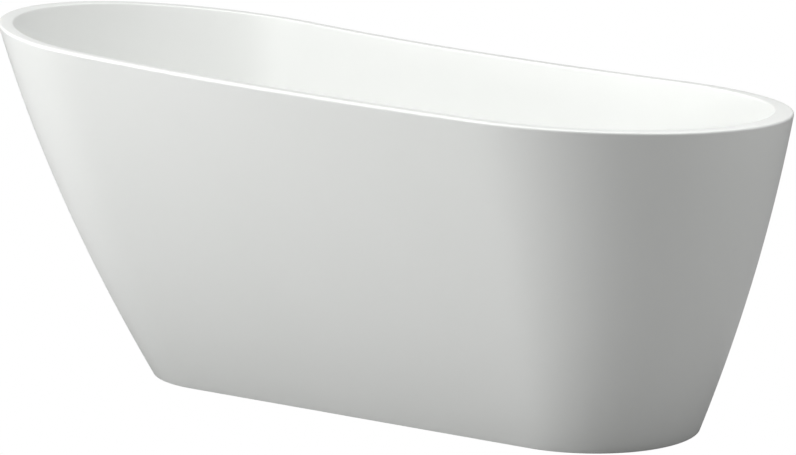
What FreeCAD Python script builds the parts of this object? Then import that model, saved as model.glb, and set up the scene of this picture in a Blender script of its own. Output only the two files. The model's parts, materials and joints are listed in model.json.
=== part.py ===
import FreeCAD, Part
import math
import os
import re

import Sketcher
from FreeCAD import Placement, Rotation, Vector

# Freestanding single-slipper bathtub, in millimetres.
# X runs from the raised head end (-X) to the low foot end (+X), Y across, Z up.
# The origin is the middle of the footprint, on the floor.
# The tub is a double-walled shell: a skirt, and a basin whose rim turns down onto it.
# Between them are a plywood board, a welded steel frame on six levelling feet, the waste and
# the overflow.

SIZES = [
    # Outside of the skirt: three level outlines, each two half circles joined by straight sides.
    ("outer_mid_height", 380, "height of the middle outline"),
    ("outer_top_height", 760, "height of the top outline, above the highest rim"),
    ("outer_base_head", -514, "head end of the outline on the floor"),
    ("outer_mid_head", -727, "head end of the middle outline"),
    ("outer_top_head", -857, "head end of the top outline"),
    ("outer_base_foot", 695, "foot end of the outline on the floor"),
    ("outer_mid_foot", 809, "foot end of the middle outline"),
    ("outer_top_foot", 870, "foot end of the top outline"),
    ("outer_base_half", 210, "half width on the floor"),
    ("outer_mid_half", 316, "half width of the middle outline"),
    ("outer_top_half", 421, "half width of the top outline"),
    ("skirt_wall", 5, "skirt thickness, measured level"),
    # Rim line, seen from the side: two arcs that share a tangent over the origin.
    ("rim_reach", 900, "how far the rim line runs each way along X"),
    ("rim_head_height", 737, "rim line height at the head reach"),
    ("rim_mid_height", 640, "rim line height over the origin"),
    ("rim_foot_height", 592, "rim line height at the foot reach"),
    ("rim_head_radius", 12700, "radius of the head arc of the rim line"),
    ("rim_lip", 22, "depth of the lip that turns down onto the skirt"),
    ("rim_plate", 6, "thickness of the flat rim"),
    ("rim_round", 4, "radius of the rim's outer and inner edges"),
    # Inside of the basin: outlines at the floor, the middle and above the rim.
    ("basin_floor", 140, "height of the basin floor"),
    ("basin_mid_height", 450, "height of the middle basin outline"),
    ("basin_floor_head", -510, "head end of the basin at its floor"),
    ("basin_mid_head", -690, "head end of the basin, middle outline"),
    ("basin_top_head", -834, "head end of the basin, top outline"),
    ("basin_floor_foot", 624, "foot end of the basin at its floor"),
    ("basin_floor_half", 205, "half width of the basin at its floor"),
    ("basin_mid_half", 300, "half width of the basin, middle outline"),
    ("basin_top_half", 396, "half width of the basin, top outline"),
    ("foot_wall_lean", 22.5, "lean of the basin's foot wall from upright, degrees"),
    ("basin_wall", 6, "basin thickness"),
    ("basin_round", 60, "radius between the basin floor and its walls"),
    # Board and frame.
    ("board_head", -450, "head end of the plywood board"),
    ("board_foot", 560, "foot end of the plywood board"),
    ("board_half", 150, "half width of the plywood board"),
    ("board_thick", 15, "plywood thickness"),
    ("board_drain_radius", 48, "hole in the board around the waste"),
    ("tube_size", 25, "side of the square steel tube"),
    ("tube_wall", 2, "wall of the square steel tube"),
    ("rail_head", -440, "head end of the rails"),
    ("rail_foot", 550, "foot end of the rails"),
    ("rail_offset", 122.5, "rail centre line from the middle of the tub"),
    ("bracket_width", 40, "width of a side bracket"),
    ("bracket_thick", 3, "thickness of a side bracket"),
    ("screw_radius", 2.5, "shank radius of a rail screw"),
    ("screw_head_radius", 5.5, "head radius of a rail screw"),
    ("screw_head_height", 3.5, "head height of a rail screw"),
    ("screw_bite", 10, "depth of a rail screw in the board"),
    # Levelling feet, M12.
    ("stud_radius", 6, "thread radius of a levelling stud"),
    ("thread_gap", 0.05, "radial running gap in the weld nut"),
    ("stud_top", 108, "top of a stud"),
    ("stud_hex_base", 16, "underside of the stud's spanner flats"),
    ("stud_hex_height", 8, "height of the stud's spanner flats"),
    ("stud_hex_radius", 9.8, "corner radius of the stud's spanner flats"),
    ("stud_neck", 3, "neck radius above the ball"),
    ("ball_radius", 5, "ball at the bottom of a stud"),
    ("ball_height", 9, "height of the ball's centre"),
    ("ball_gap", 0.3, "gap between the ball and its socket"),
    ("pad_radius", 25, "radius of a foot pad"),
    ("pad_height", 13, "height of a foot pad"),
    ("weld_nut_radius", 10.9, "corner radius of a weld nut"),
    ("weld_nut_height", 10, "height of a weld nut"),
    ("lock_nut_radius", 10.4, "corner radius of a lock nut"),
    ("lock_nut_height", 7, "height of a lock nut"),
    # Waste, at the foot end of the floor.
    ("drain_place", 450, "waste centre along X"),
    ("drain_dish_radius", 45, "dished seat around the waste"),
    ("drain_dish_depth", 3, "depth of that seat"),
    ("drain_hole", 25, "radius of the hole through the basin floor"),
    ("washer_thick", 1.5, "sealing washer above the floor"),
    ("gasket_thick", 3, "gasket under the floor"),
    ("waste_body", 23.5, "thread radius of the drain flange"),
    ("waste_bore", 20, "bore of the drain flange"),
    ("tail_radius", 20, "outside radius of the tailpiece's free end"),
    ("tail_spigot", 19, "outside radius of the tailpiece inside the slip nut and the tee"),
    ("flange_radius", 36, "radius of the drain flange"),
    ("flange_thick", 3, "thickness of the drain flange"),
    ("flange_foot", 100, "lower end of the drain flange's thread"),
    ("flange_land", 27, "inner radius of the flange's flat top"),
    ("spider_foot", 109, "underside of the cross bar that carries the stopper's post"),
    ("spider_width", 6, "width of that cross bar"),
    ("spider_thick", 5, "thickness of that cross bar"),
    ("hub_radius", 8, "radius of the cross bar's hub"),
    ("hub_foot", 108, "underside of the hub, which is as high as its radius"),
    ("post_radius", 5, "radius of the stopper's post"),
    ("post_foot", 104, "lower end of the post"),
    ("post_top", 136, "upper end of the post"),
    ("cap_radius", 31, "radius of the stopper's cap"),
    ("cap_rise", 6, "top of the cap above the flange"),
    ("cap_gap", 0.5, "gap between the lowered cap and the flange"),
    ("seal_bore", 12, "inner radius of the stopper's seal"),
    ("seal_foot_radius", 21.7, "outer radius of the seal at its bottom"),
    ("seal_top_radius", 26.2, "outer radius of the seal at its top"),
    ("seal_depth", 3, "how far the seal reaches into the flange"),
    ("sleeve_radius", 9, "outside radius of the stopper's sleeve"),
    ("sleeve_gap", 0.05, "running gap between the sleeve and the post"),
    ("sleeve_foot", 118, "lower end of the sleeve"),
    ("sleeve_roof", 137.5, "top of the sleeve's bore"),
    ("tee_radius", 24, "outside radius of the tee's lower body"),
    ("tee_collar", 30, "outside radius of the tee's collar"),
    ("tee_lip", 4, "thickness of the tee's top flange"),
    ("tee_shoulder", 93, "bottom of the slope up to the tee's collar"),
    ("tee_thread_foot", 99.5, "lower end of the tee's thread"),
    ("branch_length", 64, "reach of the tee's side branch from its axis"),
    ("branch_height", 72, "height of the tee's side branch"),
    ("tee_foot", 36, "bottom of the tee"),
    ("tail_end", 6, "bottom of the tailpiece"),
    ("tail_step", 27, "top of the tailpiece's free end"),
    ("tail_bore", 17.5, "bore of the tailpiece"),
    ("tail_entry", 20, "how far the tailpiece enters the tee"),
    ("tail_washer_thick", 2, "thickness of the tailpiece's washer"),
    ("slip_nut_radius", 28, "outside radius of the slip nut"),
    ("slip_nut_bore", 19.2, "bore of the slip nut round the tailpiece"),
    ("slip_nut_foot", 30, "bottom of the slip nut"),
    ("slip_nut_top", 48, "top of the slip nut"),
    # Overflow line, in 32 mm pipe.
    ("overflow_height", 475, "height of the overflow on the foot wall"),
    ("overflow_hole", 23, "radius of the overflow hole"),
    ("overflow_seat", 38, "radius of the flat seat round the overflow"),
    ("overflow_pad", 8, "wall thickness at that seat"),
    ("overflow_spigot", 21, "radius of the elbow's spigot through the wall"),
    ("overflow_clamp", 35, "radius of the elbow's flange and its gasket"),
    ("overflow_gasket_thick", 2.5, "thickness of that gasket"),
    ("overflow_flange_thick", 3, "thickness of the elbow's flange"),
    ("spigot_reach", 5, "how far the spigot stands into the basin"),
    ("elbow_radius", 24, "outside radius of the elbow's body"),
    ("elbow_bore", 18, "bore of the elbow's body"),
    ("elbow_back", 49, "back of the elbow behind the wall's inner face"),
    ("outlet_length", 58, "reach of the elbow's outlet from its axis"),
    ("ring_nut_radius", 30, "outside radius of the ring nut"),
    ("ring_nut_height", 4, "height of the ring nut"),
    ("cover_radius", 36, "outside radius of the overflow cover"),
    ("cover_depth", 12, "how far the cover stands out from the wall"),
    ("cover_face", 3, "thickness of the cover's face"),
    ("cover_wall", 2.5, "thickness of the cover's rim, and its corner"),
    ("cover_gap", 2, "water gap between the cover's rim and the wall"),
    ("clip_wall", 1.5, "thickness of the ring that clips over the ring nut"),
    ("clip_gap", 1, "clearance under the clip ring"),
    ("slot_start", 26, "inner end of the cover's water slots"),
    ("slot_length", 12, "length of a water slot"),
    ("slot_width", 8, "width of a water slot"),
    ("slot_height", 6.5, "height of a water slot"),
    ("slot_pitch", 12, "spacing of the water slots"),
    ("pipe_radius", 16, "outside radius of the overflow pipe"),
    ("pipe_bore", 14, "bore of the overflow pipe"),
    ("socket_radius", 18.5, "outside radius of a pipe socket"),
    ("socket_depth", 20, "how far a pipe enters its socket"),
    ("elbow_depth", 29.5, "pipe centre line behind the foot wall's inner face"),
    ("bend_radius", 30, "centre line radius of the lower bend"),
]

VALUE = {alias: value for alias, value, note in SIZES}
BRACKET_PLACES = (-200, 300)
CROSS_PLACES = {"head": -400, "mid_head": -120, "mid_foot": 200, "foot": 537.5}
FOOT_PLACES = (-360, 80, 500)
SCREW_PLACES = (-300, -60, 160, 420)
SIDES = (("near", -1), ("far", 1))

doc = FreeCAD.newDocument("Bathtub")
nodes = []


def fill_sheet():
    """Puts every driving dimension in the spreadsheet under its alias."""
    sheet = doc.addObject("Spreadsheet::Sheet", "Sizes")
    for row, (alias, value, note) in enumerate(SIZES, start=1):
        sheet.set(f"A{row}", note)
        sheet.set(f"B{row}", str(value))
        sheet.setAlias(f"B{row}", alias)
    doc.recompute()


def formula(text):
    """The expression with each alias read from the spreadsheet."""
    return re.sub(r"[a-z_]+", lambda word: "Sizes." + word[0] if word[0] in VALUE else word[0],
                  str(text))


def bind(item, **formulas):
    """Binds properties to formulas; x, y and z stand for the item's position."""
    for name, text in formulas.items():
        path = f".Placement.Base.{name}" if name in ("x", "y", "z") else name
        item.setExpression(path, formula(text))
    return item


def keep(item, label):
    """Names a finished sub-part."""
    item.Label = label
    nodes.append(item)
    return item


# ---- shapes that repeat ----

def cylinder(name, radius, height, turn=None, **place):
    item = doc.addObject("Part::Cylinder", name)
    if turn:
        item.Placement.Rotation = turn
    return bind(item, Radius=radius, Height=height, **place)


def box(name, length, width, height, **place):
    item = doc.addObject("Part::Box", name)
    return bind(item, Length=length, Width=width, Height=height, **place)


def hexagon(name, corner_radius, height, **place):
    item = doc.addObject("Part::Prism", name)
    item.Polygon = 6
    return bind(item, Circumradius=corner_radius, Height=height, **place)


def ball(name, radius, **place):
    return bind(doc.addObject("Part::Sphere", name), Radius=radius, **place)


def cut(name, base, tool):
    item = doc.addObject("Part::Cut", name)
    item.Base = base
    item.Tool = tool
    return item


def fuse(name, *shapes):
    item = doc.addObject("Part::MultiFuse", name)
    item.Shapes = list(shapes)
    return item


def common(name, *shapes):
    item = doc.addObject("Part::MultiCommon", name)
    item.Shapes = list(shapes)
    return item


def group(name, shapes):
    item = doc.addObject("Part::Compound", name)
    item.Links = list(shapes)
    return item


def number(text):
    """The present value of a formula, used to place a sketch's first guess."""
    value = doc.Sizes.evalExpression(formula(text))
    return float(getattr(value, "Value", value))


def turned(name, profile):
    """A body turned about its own Z from (radius, height) corners, each bound to the sheet."""
    body = doc.addObject("PartDesign::Body", name)
    sketch = body.newObject("Sketcher::SketchObject", name + "_profile")
    plane = next(part for part in body.Origin.OriginFeatures if part.Role == "XZ_Plane")
    sketch.AttachmentSupport = [(plane, "")]
    sketch.MapMode = "FlatFace"
    corners = [Vector(number(radius), number(height), 0) for radius, height in profile]
    for index, corner in enumerate(corners):
        sketch.addGeometry(Part.LineSegment(corner, corners[(index + 1) % len(corners)]), False)
    for index in range(len(corners)):
        following = (index + 1) % len(corners)
        sketch.addConstraint(Sketcher.Constraint("Coincident", index, 2, following, 1))
    for index, (radius, height) in enumerate(profile):
        bind_corner(sketch, index, "DistanceX", radius, -2)
        bind_corner(sketch, index, "DistanceY", height, -1)
    turn = body.newObject("PartDesign::Revolution", name + "_turn")
    turn.Profile = sketch
    turn.ReferenceAxis = (sketch, ["V_Axis"])
    turn.Angle = 360
    body.Tip = turn
    return body


def bind_corner(sketch, index, kind, text, axis):
    """Ties one coordinate of a corner to a formula, or to the axis where it is zero."""
    if str(text) == "0":
        sketch.addConstraint(Sketcher.Constraint("PointOnObject", index, 1, axis))
        return
    rule = sketch.addConstraint(Sketcher.Constraint(kind, -1, 1, index, 1, number(text)))
    sketch.setExpression(f"Constraints[{rule}]", formula(text))


def outline(name, head, foot, half, height):
    """A level sketch: half circles at both ends, joined by straight sides."""
    sketch = doc.addObject("Sketcher::SketchObject", name)
    bind(sketch, z=height)
    radius = number(half)
    start = number(head) + radius
    end = number(foot) - radius
    quarter = math.pi / 2
    up = Vector(0, 0, 1)
    head_circle = Part.Circle(Vector(start, 0, 0), up, radius)
    foot_circle = Part.Circle(Vector(end, 0, 0), up, radius)
    sketch.addGeometry(Part.ArcOfCircle(head_circle, quarter, 3 * quarter), False)
    sketch.addGeometry(Part.LineSegment(Vector(start, -radius, 0), Vector(end, -radius, 0)), False)
    sketch.addGeometry(Part.ArcOfCircle(foot_circle, -quarter, quarter), False)
    sketch.addGeometry(Part.LineSegment(Vector(end, radius, 0), Vector(start, radius, 0)), False)
    for index in range(4):
        sketch.addConstraint(Sketcher.Constraint("Tangent", index, 2, (index + 1) % 4, 1))
    sketch.addConstraint(Sketcher.Constraint("Horizontal", 1))
    sketch.addConstraint(Sketcher.Constraint("PointOnObject", 0, 3, -1))
    sketch.addConstraint(Sketcher.Constraint("PointOnObject", 2, 3, -1))
    rule = sketch.addConstraint(Sketcher.Constraint("Radius", 0, radius))
    sketch.setExpression(f"Constraints[{rule}]", formula(half))
    for index, value, text in ((0, start, f"{head} + {half}"), (2, end, f"{foot} - ({half})")):
        rule = sketch.addConstraint(Sketcher.Constraint("DistanceX", -1, 1, index, 3, value))
        sketch.setExpression(f"Constraints[{rule}]", formula(text))
    return sketch


def loft(name, outlines):
    item = doc.addObject("Part::Loft", name)
    item.Sections = outlines
    item.Solid = True
    item.Ruled = False
    return item


def extrude(name, sketch, length, symmetric=False):
    item = doc.addObject("Part::Extrusion", name)
    item.Base = sketch
    item.DirMode = "Normal"
    item.Solid = True
    item.Symmetric = symmetric
    return bind(item, LengthFwd=length)


# ---- shells ----

def outer_loft(name, inset):
    """The outside of the skirt, drawn in by the inset all round."""
    levels = (("base", "0"), ("mid", "outer_mid_height"), ("top", "outer_top_height"))
    outlines = [outline(f"{name}_{level}", f"outer_{level}_head + {inset}",
                        f"outer_{level}_foot - {inset}", f"outer_{level}_half - {inset}", height)
                for level, height in levels]
    return loft(name, outlines)


def basin_loft(name, growth, floor):
    """The inside of the basin, grown by the wall for its back face."""
    lean = "tan(foot_wall_lean * 1 deg)"
    mid_foot = f"basin_floor_foot + (basin_mid_height - basin_floor) * {lean}"
    top_foot = f"basin_floor_foot + (outer_top_height - basin_floor) * {lean}"
    levels = (("basin_floor_head", "basin_floor_foot", "basin_floor_half", floor),
              ("basin_mid_head", mid_foot, "basin_mid_half", "basin_mid_height"),
              ("basin_top_head", top_foot, "basin_top_half", "outer_top_height"))
    outlines = [outline(f"{name}_{index}", f"{head} - {growth}", f"{foot} + {growth}",
                        f"{half} + {growth}", height)
                for index, (head, foot, half, height) in enumerate(levels)]
    return loft(name, outlines)


def rounded_floor(name, solid, radius):
    """Rounds the edge between a loft's flat bottom and its walls."""
    doc.recompute()
    bottom = solid.Shape.BoundBox.ZMin
    item = doc.addObject("Part::Fillet", name)
    item.Base = solid
    item.Edges = [(index, number(radius), number(radius))
                  for index, edge in enumerate(solid.Shape.Edges, start=1)
                  if edge.BoundBox.ZMax < bottom + 0.1]
    return item


def sagging_arc(start, end, radius):
    """The shallow arc between two points that hangs below their chord."""
    sag = (end - start).Length ** 2 / (8 * radius)
    return Part.Arc(start, (start + end) / 2 - Vector(0, sag, 0), end)


def rounded_rim(name, solid):
    """Rounds both edges of the flat rim, whose faces look up and follow the rim line."""
    doc.recompute()
    shape = solid.Shape
    rim_faces = [face for face in shape.Faces if isinstance(face.Surface, Part.Cylinder)
                 and face.Surface.Radius > number("rim_reach")
                 and face.normalAt(*face.Surface.parameter(face.CenterOfMass)).z > 0.9]
    rim_edges = [edge for face in rim_faces for edge in face.Edges if edge.BoundBox.XLength > 0.1]
    item = doc.addObject("Part::Fillet", name)
    item.Base = solid
    item.Edges = [(index, number("rim_round"), number("rim_round"))
                  for index, edge in enumerate(shape.Edges, start=1)
                  if any(edge.isSame(other) for other in rim_edges)]
    return item


def under_rim(name, drop):
    """Everything lower than the rim line, let down by a drop."""
    sketch = doc.addObject("Sketcher::SketchObject", name + "_profile")
    sketch.Placement.Rotation = Rotation(Vector(1, 0, 0), 90)
    bind(sketch, z=f"0 - ({drop})")
    reach, radius = number("rim_reach"), number("rim_head_radius")
    head_top = Vector(-reach, number("rim_head_height"), 0)
    middle = Vector(0, number("rim_mid_height"), 0)
    foot_top = Vector(reach, number("rim_foot_height"), 0)
    foot_low, head_low = Vector(reach, -reach, 0), Vector(-reach, -reach, 0)
    sketch.addGeometry(sagging_arc(head_top, middle, radius), False)
    sketch.addGeometry(sagging_arc(middle, foot_top, 2 * radius), False)
    sketch.addGeometry(Part.LineSegment(foot_top, foot_low), False)
    sketch.addGeometry(Part.LineSegment(foot_low, head_low), False)
    sketch.addGeometry(Part.LineSegment(head_low, head_top), False)
    sketch.addConstraint(Sketcher.Constraint("Tangent", 0, 2, 1, 1))
    for index in range(1, 5):
        sketch.addConstraint(Sketcher.Constraint("Coincident", index, 2, (index + 1) % 5, 1))
    sketch.addConstraint(Sketcher.Constraint("Vertical", 2))
    sketch.addConstraint(Sketcher.Constraint("Horizontal", 3))
    sketch.addConstraint(Sketcher.Constraint("Vertical", 4))
    bind_corner(sketch, 0, "DistanceX", "-rim_reach", -2)
    bind_corner(sketch, 0, "DistanceY", "rim_head_height", -1)
    bind_corner(sketch, 1, "DistanceX", "0", -2)
    bind_corner(sketch, 1, "DistanceY", "rim_mid_height", -1)
    bind_corner(sketch, 2, "DistanceX", "rim_reach", -2)
    bind_corner(sketch, 2, "DistanceY", "rim_foot_height", -1)
    bind_corner(sketch, 3, "DistanceY", "-rim_reach", -1)
    rule = sketch.addConstraint(Sketcher.Constraint("Radius", 0, radius))
    sketch.setExpression(f"Constraints[{rule}]", formula("rim_head_radius"))
    return extrude(name, sketch, "2 * rim_reach", symmetric=True)


def overflow_frame():
    """The overflow's own frame: Z runs out through the foot wall and X down along it."""
    lean = VALUE["foot_wall_lean"]
    rise = VALUE["overflow_height"] - VALUE["basin_floor"]
    reach = VALUE["basin_floor_foot"] + rise * math.tan(math.radians(lean))
    place = Vector(reach, 0, VALUE["overflow_height"])
    return Placement(place, Rotation(Vector(0, 1, 0), 90 + lean))


def make_shells():
    """The skirt and the basin, which meet at a glued seam under the rim's lip."""
    outside = outer_loft("outside", "0")
    skirt_inside = outer_loft("skirt_inside", "skirt_wall")
    basin_inside = rounded_floor("basin_inside", basin_loft("basin_face", "0", "basin_floor"),
                                 "basin_round")
    back = basin_loft("back_face", "basin_wall", "basin_floor - basin_wall")
    basin_back = rounded_floor("basin_back", back, "basin_round + basin_wall")
    under_seam = under_rim("under_seam", "rim_lip")
    skirt = cut("skirt", common("skirt_outside", outside, under_seam), skirt_inside)
    keep(skirt, "outer_shell")

    band = cut("rim_band", common("rim_outside", outside, under_rim("under_top", "0")), under_seam)
    hollow = common("rim_hollow", skirt_inside, under_rim("under_plate", "rim_plate"))
    boss = cylinder("drain_boss", "drain_dish_radius", "basin_wall", x="drain_place",
                    z="basin_floor - drain_dish_depth - basin_wall")
    frame = overflow_frame()
    pad = cylinder("overflow_back_pad", "overflow_seat + 2", "overflow_pad")
    pad.Placement = frame
    basin = common("basin_outside", basin_back, under_rim("under_basin", "0"))
    walls = fuse("basin_walls", cut("rim_flange", band, hollow), basin, boss, pad)
    dish = cylinder("drain_dish", "drain_dish_radius", "drain_dish_depth * 2", x="drain_place",
                    z="basin_floor - drain_dish_depth")
    drain = cylinder("drain_opening", "drain_hole", "basin_floor", x="drain_place")
    seat = cylinder("overflow_flat", "overflow_seat", 20)
    seat.Placement = frame.multiply(Placement(Vector(0, 0, -20), Rotation()))
    hole = cylinder("overflow_opening", "overflow_hole", 40)
    hole.Placement = frame.multiply(Placement(Vector(0, 0, -20), Rotation()))
    inside = fuse("basin_hollow", basin_inside, dish, drain, seat, hole)
    keep(rounded_rim("basin_rounded", cut("basin", walls, inside)), "inner_shell")
    return skirt_inside


# ---- board and frame ----

def make_board():
    """The plywood board laminated under the basin floor."""
    top = "basin_floor - basin_wall"
    sketch = outline("board_outline", "board_head", "board_foot", "board_half",
                     f"{top} - board_thick")
    sheet = extrude("board_sheet", sketch, "board_thick")
    holes = [cylinder("board_drain", "board_drain_radius", "basin_floor", x="drain_place")]
    for place in SCREW_PLACES:
        for side, sign in SIDES:
            holes.append(cylinder(f"board_pilot_{side}", "screw_radius", "screw_bite", x=place,
                                  y=f"{sign} * rail_offset", z=f"{top} - board_thick"))
    keep(cut("board", sheet, fuse("board_holes", *holes)), "base_board")


def rail_top():
    return "basin_floor - basin_wall - board_thick"


def make_rails():
    """Two square tubes along the board, drilled for the screws and the studs."""
    low = f"{rail_top()} - tube_size"
    for side, sign in SIDES:
        middle = f"{sign} * rail_offset"
        length = "rail_foot - rail_head"
        tube = box(f"rail_{side}", length, "tube_size", "tube_size", x="rail_head",
                   y=f"{middle} - tube_size / 2", z=low)
        bore = box(f"rail_{side}_bore", f"{length} + 2", "tube_size - 2 * tube_wall",
                   "tube_size - 2 * tube_wall", x="rail_head - 1",
                   y=f"{middle} - tube_size / 2 + tube_wall", z=f"{low} + tube_wall")
        tools = [bore]
        for place in SCREW_PLACES:
            tools.append(cylinder(f"rail_{side}_screw_hole", "screw_radius", "tube_size + 2",
                                  x=place, y=middle, z=f"{low} - 1"))
        for place in FOOT_PLACES:
            tools.append(cylinder(f"rail_{side}_stud_hole", "stud_radius + 1", "tube_size / 2",
                                  x=place, y=middle, z=f"{low} - 1"))
        holes = fuse(f"rail_{side}_holes", *tools)
        keep(cut(f"rail_{side}_tube", tube, holes), f"frame_rail_{side}")


def make_cross_members():
    """Square tubes welded between the rails."""
    low = f"{rail_top()} - tube_size"
    for name, place in CROSS_PLACES.items():
        half = "(rail_offset - tube_size / 2)"
        tube = box(f"cross_{name}", "tube_size", f"2 * {half}", "tube_size",
                   x=f"{place} - tube_size / 2", y=f"0 - {half}", z=low)
        bore = box(f"cross_{name}_bore", "tube_size - 2 * tube_wall", f"2 * {half} + 2",
                   "tube_size - 2 * tube_wall", x=f"{place} - tube_size / 2 + tube_wall",
                   y=f"0 - {half} - 1", z=f"{low} + tube_wall")
        keep(cut(f"cross_{name}_tube", tube, bore), f"cross_member_{name}")


def make_side_brackets(skirt_inside):
    """Flat bars welded under the rails and bonded to the skirt, whose slope their ends follow."""
    bars = []
    for place in BRACKET_PLACES:
        for side, sign in SIDES:
            inner = "(rail_offset - tube_size / 2)"
            start = inner if sign > 0 else "(0 - outer_mid_half)"
            bar = box(f"bracket_bar_{side}", "bracket_width", f"outer_mid_half - {inner}",
                      "bracket_thick", x=f"{place} - bracket_width / 2", y=start,
                      z=f"{rail_top()} - tube_size - bracket_thick")
            bars.append(common(f"bracket_{side}", bar, skirt_inside))
    keep(group("brackets", bars), "side_brackets")


def make_rail_screws():
    """Pan-head screws up through both walls of the rails into the board."""
    low = f"{rail_top()} - tube_size"
    screws = []
    for place in SCREW_PLACES:
        for side, sign in SIDES:
            middle = f"{sign} * rail_offset"
            head = cylinder(f"screw_head_{side}", "screw_head_radius", "screw_head_height",
                            x=place, y=middle, z=f"{low} - screw_head_height")
            shank = cylinder(f"screw_shank_{side}", "screw_radius", "tube_size + screw_bite",
                             x=place, y=middle, z=low)
            screws.append(fuse(f"screw_{side}", head, shank))
    keep(group("screws", screws), "rail_screws")


# ---- levelling feet ----

def foot_places():
    """Each foot's number and place, from the head end, near side first."""
    places = [(place, sign) for place in FOOT_PLACES for side, sign in SIDES]
    return list(enumerate(places, start=1))


def make_nuts(name, corner_radius, height, top, label):
    """One threaded nut on every stud."""
    nuts = []
    for index, (place, sign) in foot_places():
        spot = {"x": place, "y": f"{sign} * rail_offset", "z": f"{top} - {height}"}
        solid = hexagon(f"{name}_{index}_hexagon", corner_radius, height, **spot)
        bore = cylinder(f"{name}_{index}_bore", "stud_radius + thread_gap", height, **spot)
        nuts.append(cut(f"{name}_{index}", solid, bore))
    keep(group(f"{name}_set", nuts), label)


def make_pad(index, place, sign):
    """A round pad with the socket that the stud's ball turns in."""
    rim, shoulder, neck = "pad_radius", "pad_radius * 0.6", "pad_radius * 0.35"
    body = turned(f"pad_{index}_body", [
        (0, 0), (rim, 0), (rim, "pad_height * 0.3"), (shoulder, "pad_height * 0.55"),
        (neck, "pad_height * 0.7"), (neck, "pad_height"), (0, "pad_height")])
    socket = ball(f"pad_{index}_socket", "ball_radius + ball_gap", z="ball_height")
    keep(cut(f"pad_{index}", body, socket), f"foot_pad_{index}")
    bind(nodes[-1], x=place, y=f"{sign} * rail_offset")


def make_stud(index, place, sign):
    """An M12 stud with a ball at its foot and spanner flats above the pad."""
    flats_top = "(stud_hex_base + stud_hex_height)"
    chamfer = "stud_radius / 6"
    shape = turned(f"stud_{index}_shaft", [
        (0, "ball_height"), ("stud_neck", "ball_height"), ("stud_neck", "stud_hex_base + 1"),
        ("stud_radius", "stud_hex_base + 1"), ("stud_radius", f"stud_top - {chamfer}"),
        (f"stud_radius - {chamfer}", "stud_top"), (0, "stud_top")])
    flats = hexagon(f"stud_{index}_flats", "stud_hex_radius",
                    f"{flats_top} - stud_hex_base", z="stud_hex_base")
    tip = ball(f"stud_{index}_ball", "ball_radius", z="ball_height")
    keep(fuse(f"stud_{index}", shape, flats, tip), f"foot_stud_{index}")
    bind(nodes[-1], x=place, y=f"{sign} * rail_offset")


def make_feet():
    low = f"{rail_top()} - tube_size"
    make_nuts("weld_nut", "weld_nut_radius", "weld_nut_height", low, "weld_nuts")
    make_nuts("lock_nut", "lock_nut_radius", "lock_nut_height", f"{low} - weld_nut_height",
              "lock_nuts")
    for index, (place, sign) in foot_places():
        make_pad(index, place, sign)
        make_stud(index, place, sign)


# ---- waste ----

def ring(name, label, inner, outer, low, high):
    """A plain ring under or over the floor at the waste."""
    body = turned(name, [(inner, low), (outer, low), (outer, high), (inner, high)])
    return keep(bind(body, x="drain_place"), label)


def make_drain_flange():
    """The flange that is screwed down into the tee, with a cross bar for the stopper's post."""
    under = "(basin_floor - drain_dish_depth + washer_thick)"
    top = f"({under} + flange_thick)"
    flange = turned("flange_turning", [
        ("waste_bore", "flange_foot"), ("waste_body", "flange_foot"), ("waste_body", under),
        ("flange_radius", under), ("flange_radius", f"{under} + flange_thick / 3"),
        ("flange_radius - flange_thick * 2 / 3", top), ("flange_land", top),
        ("waste_bore", f"{top} - flange_thick * 1.5")])
    bar = box("flange_bar", "2 * waste_bore + 2", "spider_width", "spider_thick",
              x="0 - waste_bore - 1", y="0 - spider_width / 2", z="spider_foot")
    hub = cylinder("flange_hub", "hub_radius", "hub_radius", z="hub_foot")
    thread = cylinder("flange_thread", "post_radius", "hub_foot", z="flange_foot")
    solid = fuse("flange_solid", flange, cut("flange_spider", fuse("flange_cross", bar, hub),
                                             thread))
    keep(bind(solid, x="drain_place"), "drain_flange")


def make_tee():
    """The tee under the floor: flange thread above, tailpiece below, overflow to the side."""
    under = "(basin_floor - drain_dish_depth - basin_wall - gasket_thick)"
    outer = turned("tee_outer", [
        (0, "tee_foot"), ("tee_radius", "tee_foot"), ("tee_radius", "tee_shoulder"),
        ("tee_collar", "tee_shoulder + tee_lip"), ("tee_collar", f"{under} - tee_lip"),
        ("flange_radius", f"{under} - tee_lip"), ("flange_radius", under), (0, under)])
    inner = turned("tee_inner", [
        (0, "tee_foot - 1"), ("tail_spigot", "tee_foot - 1"),
        ("tail_spigot", "tee_foot + tail_entry"), ("tail_bore", "tee_foot + tail_entry"),
        ("tail_bore", "tee_shoulder + tee_lip"), ("waste_body", "tee_thread_foot"),
        ("waste_body", f"{under} + 1"), (0, f"{under} + 1")])
    sideways = Rotation(Vector(0, 1, 0), 90)
    branch = cylinder("tee_branch", "socket_radius", "branch_length", sideways,
                      z="branch_height")
    bore = cylinder("tee_branch_bore", "pipe_bore", "branch_length + 2", sideways,
                    z="branch_height")
    socket = cylinder("tee_branch_socket", "pipe_radius", "socket_depth + 2", sideways,
                      x="branch_length - socket_depth", z="branch_height")
    hollow = fuse("tee_hollow", inner, bore, socket)
    tee = cut("tee", fuse("tee_solid", outer, branch), hollow)
    keep(bind(tee, x="drain_place"), "waste_tee")


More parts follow.
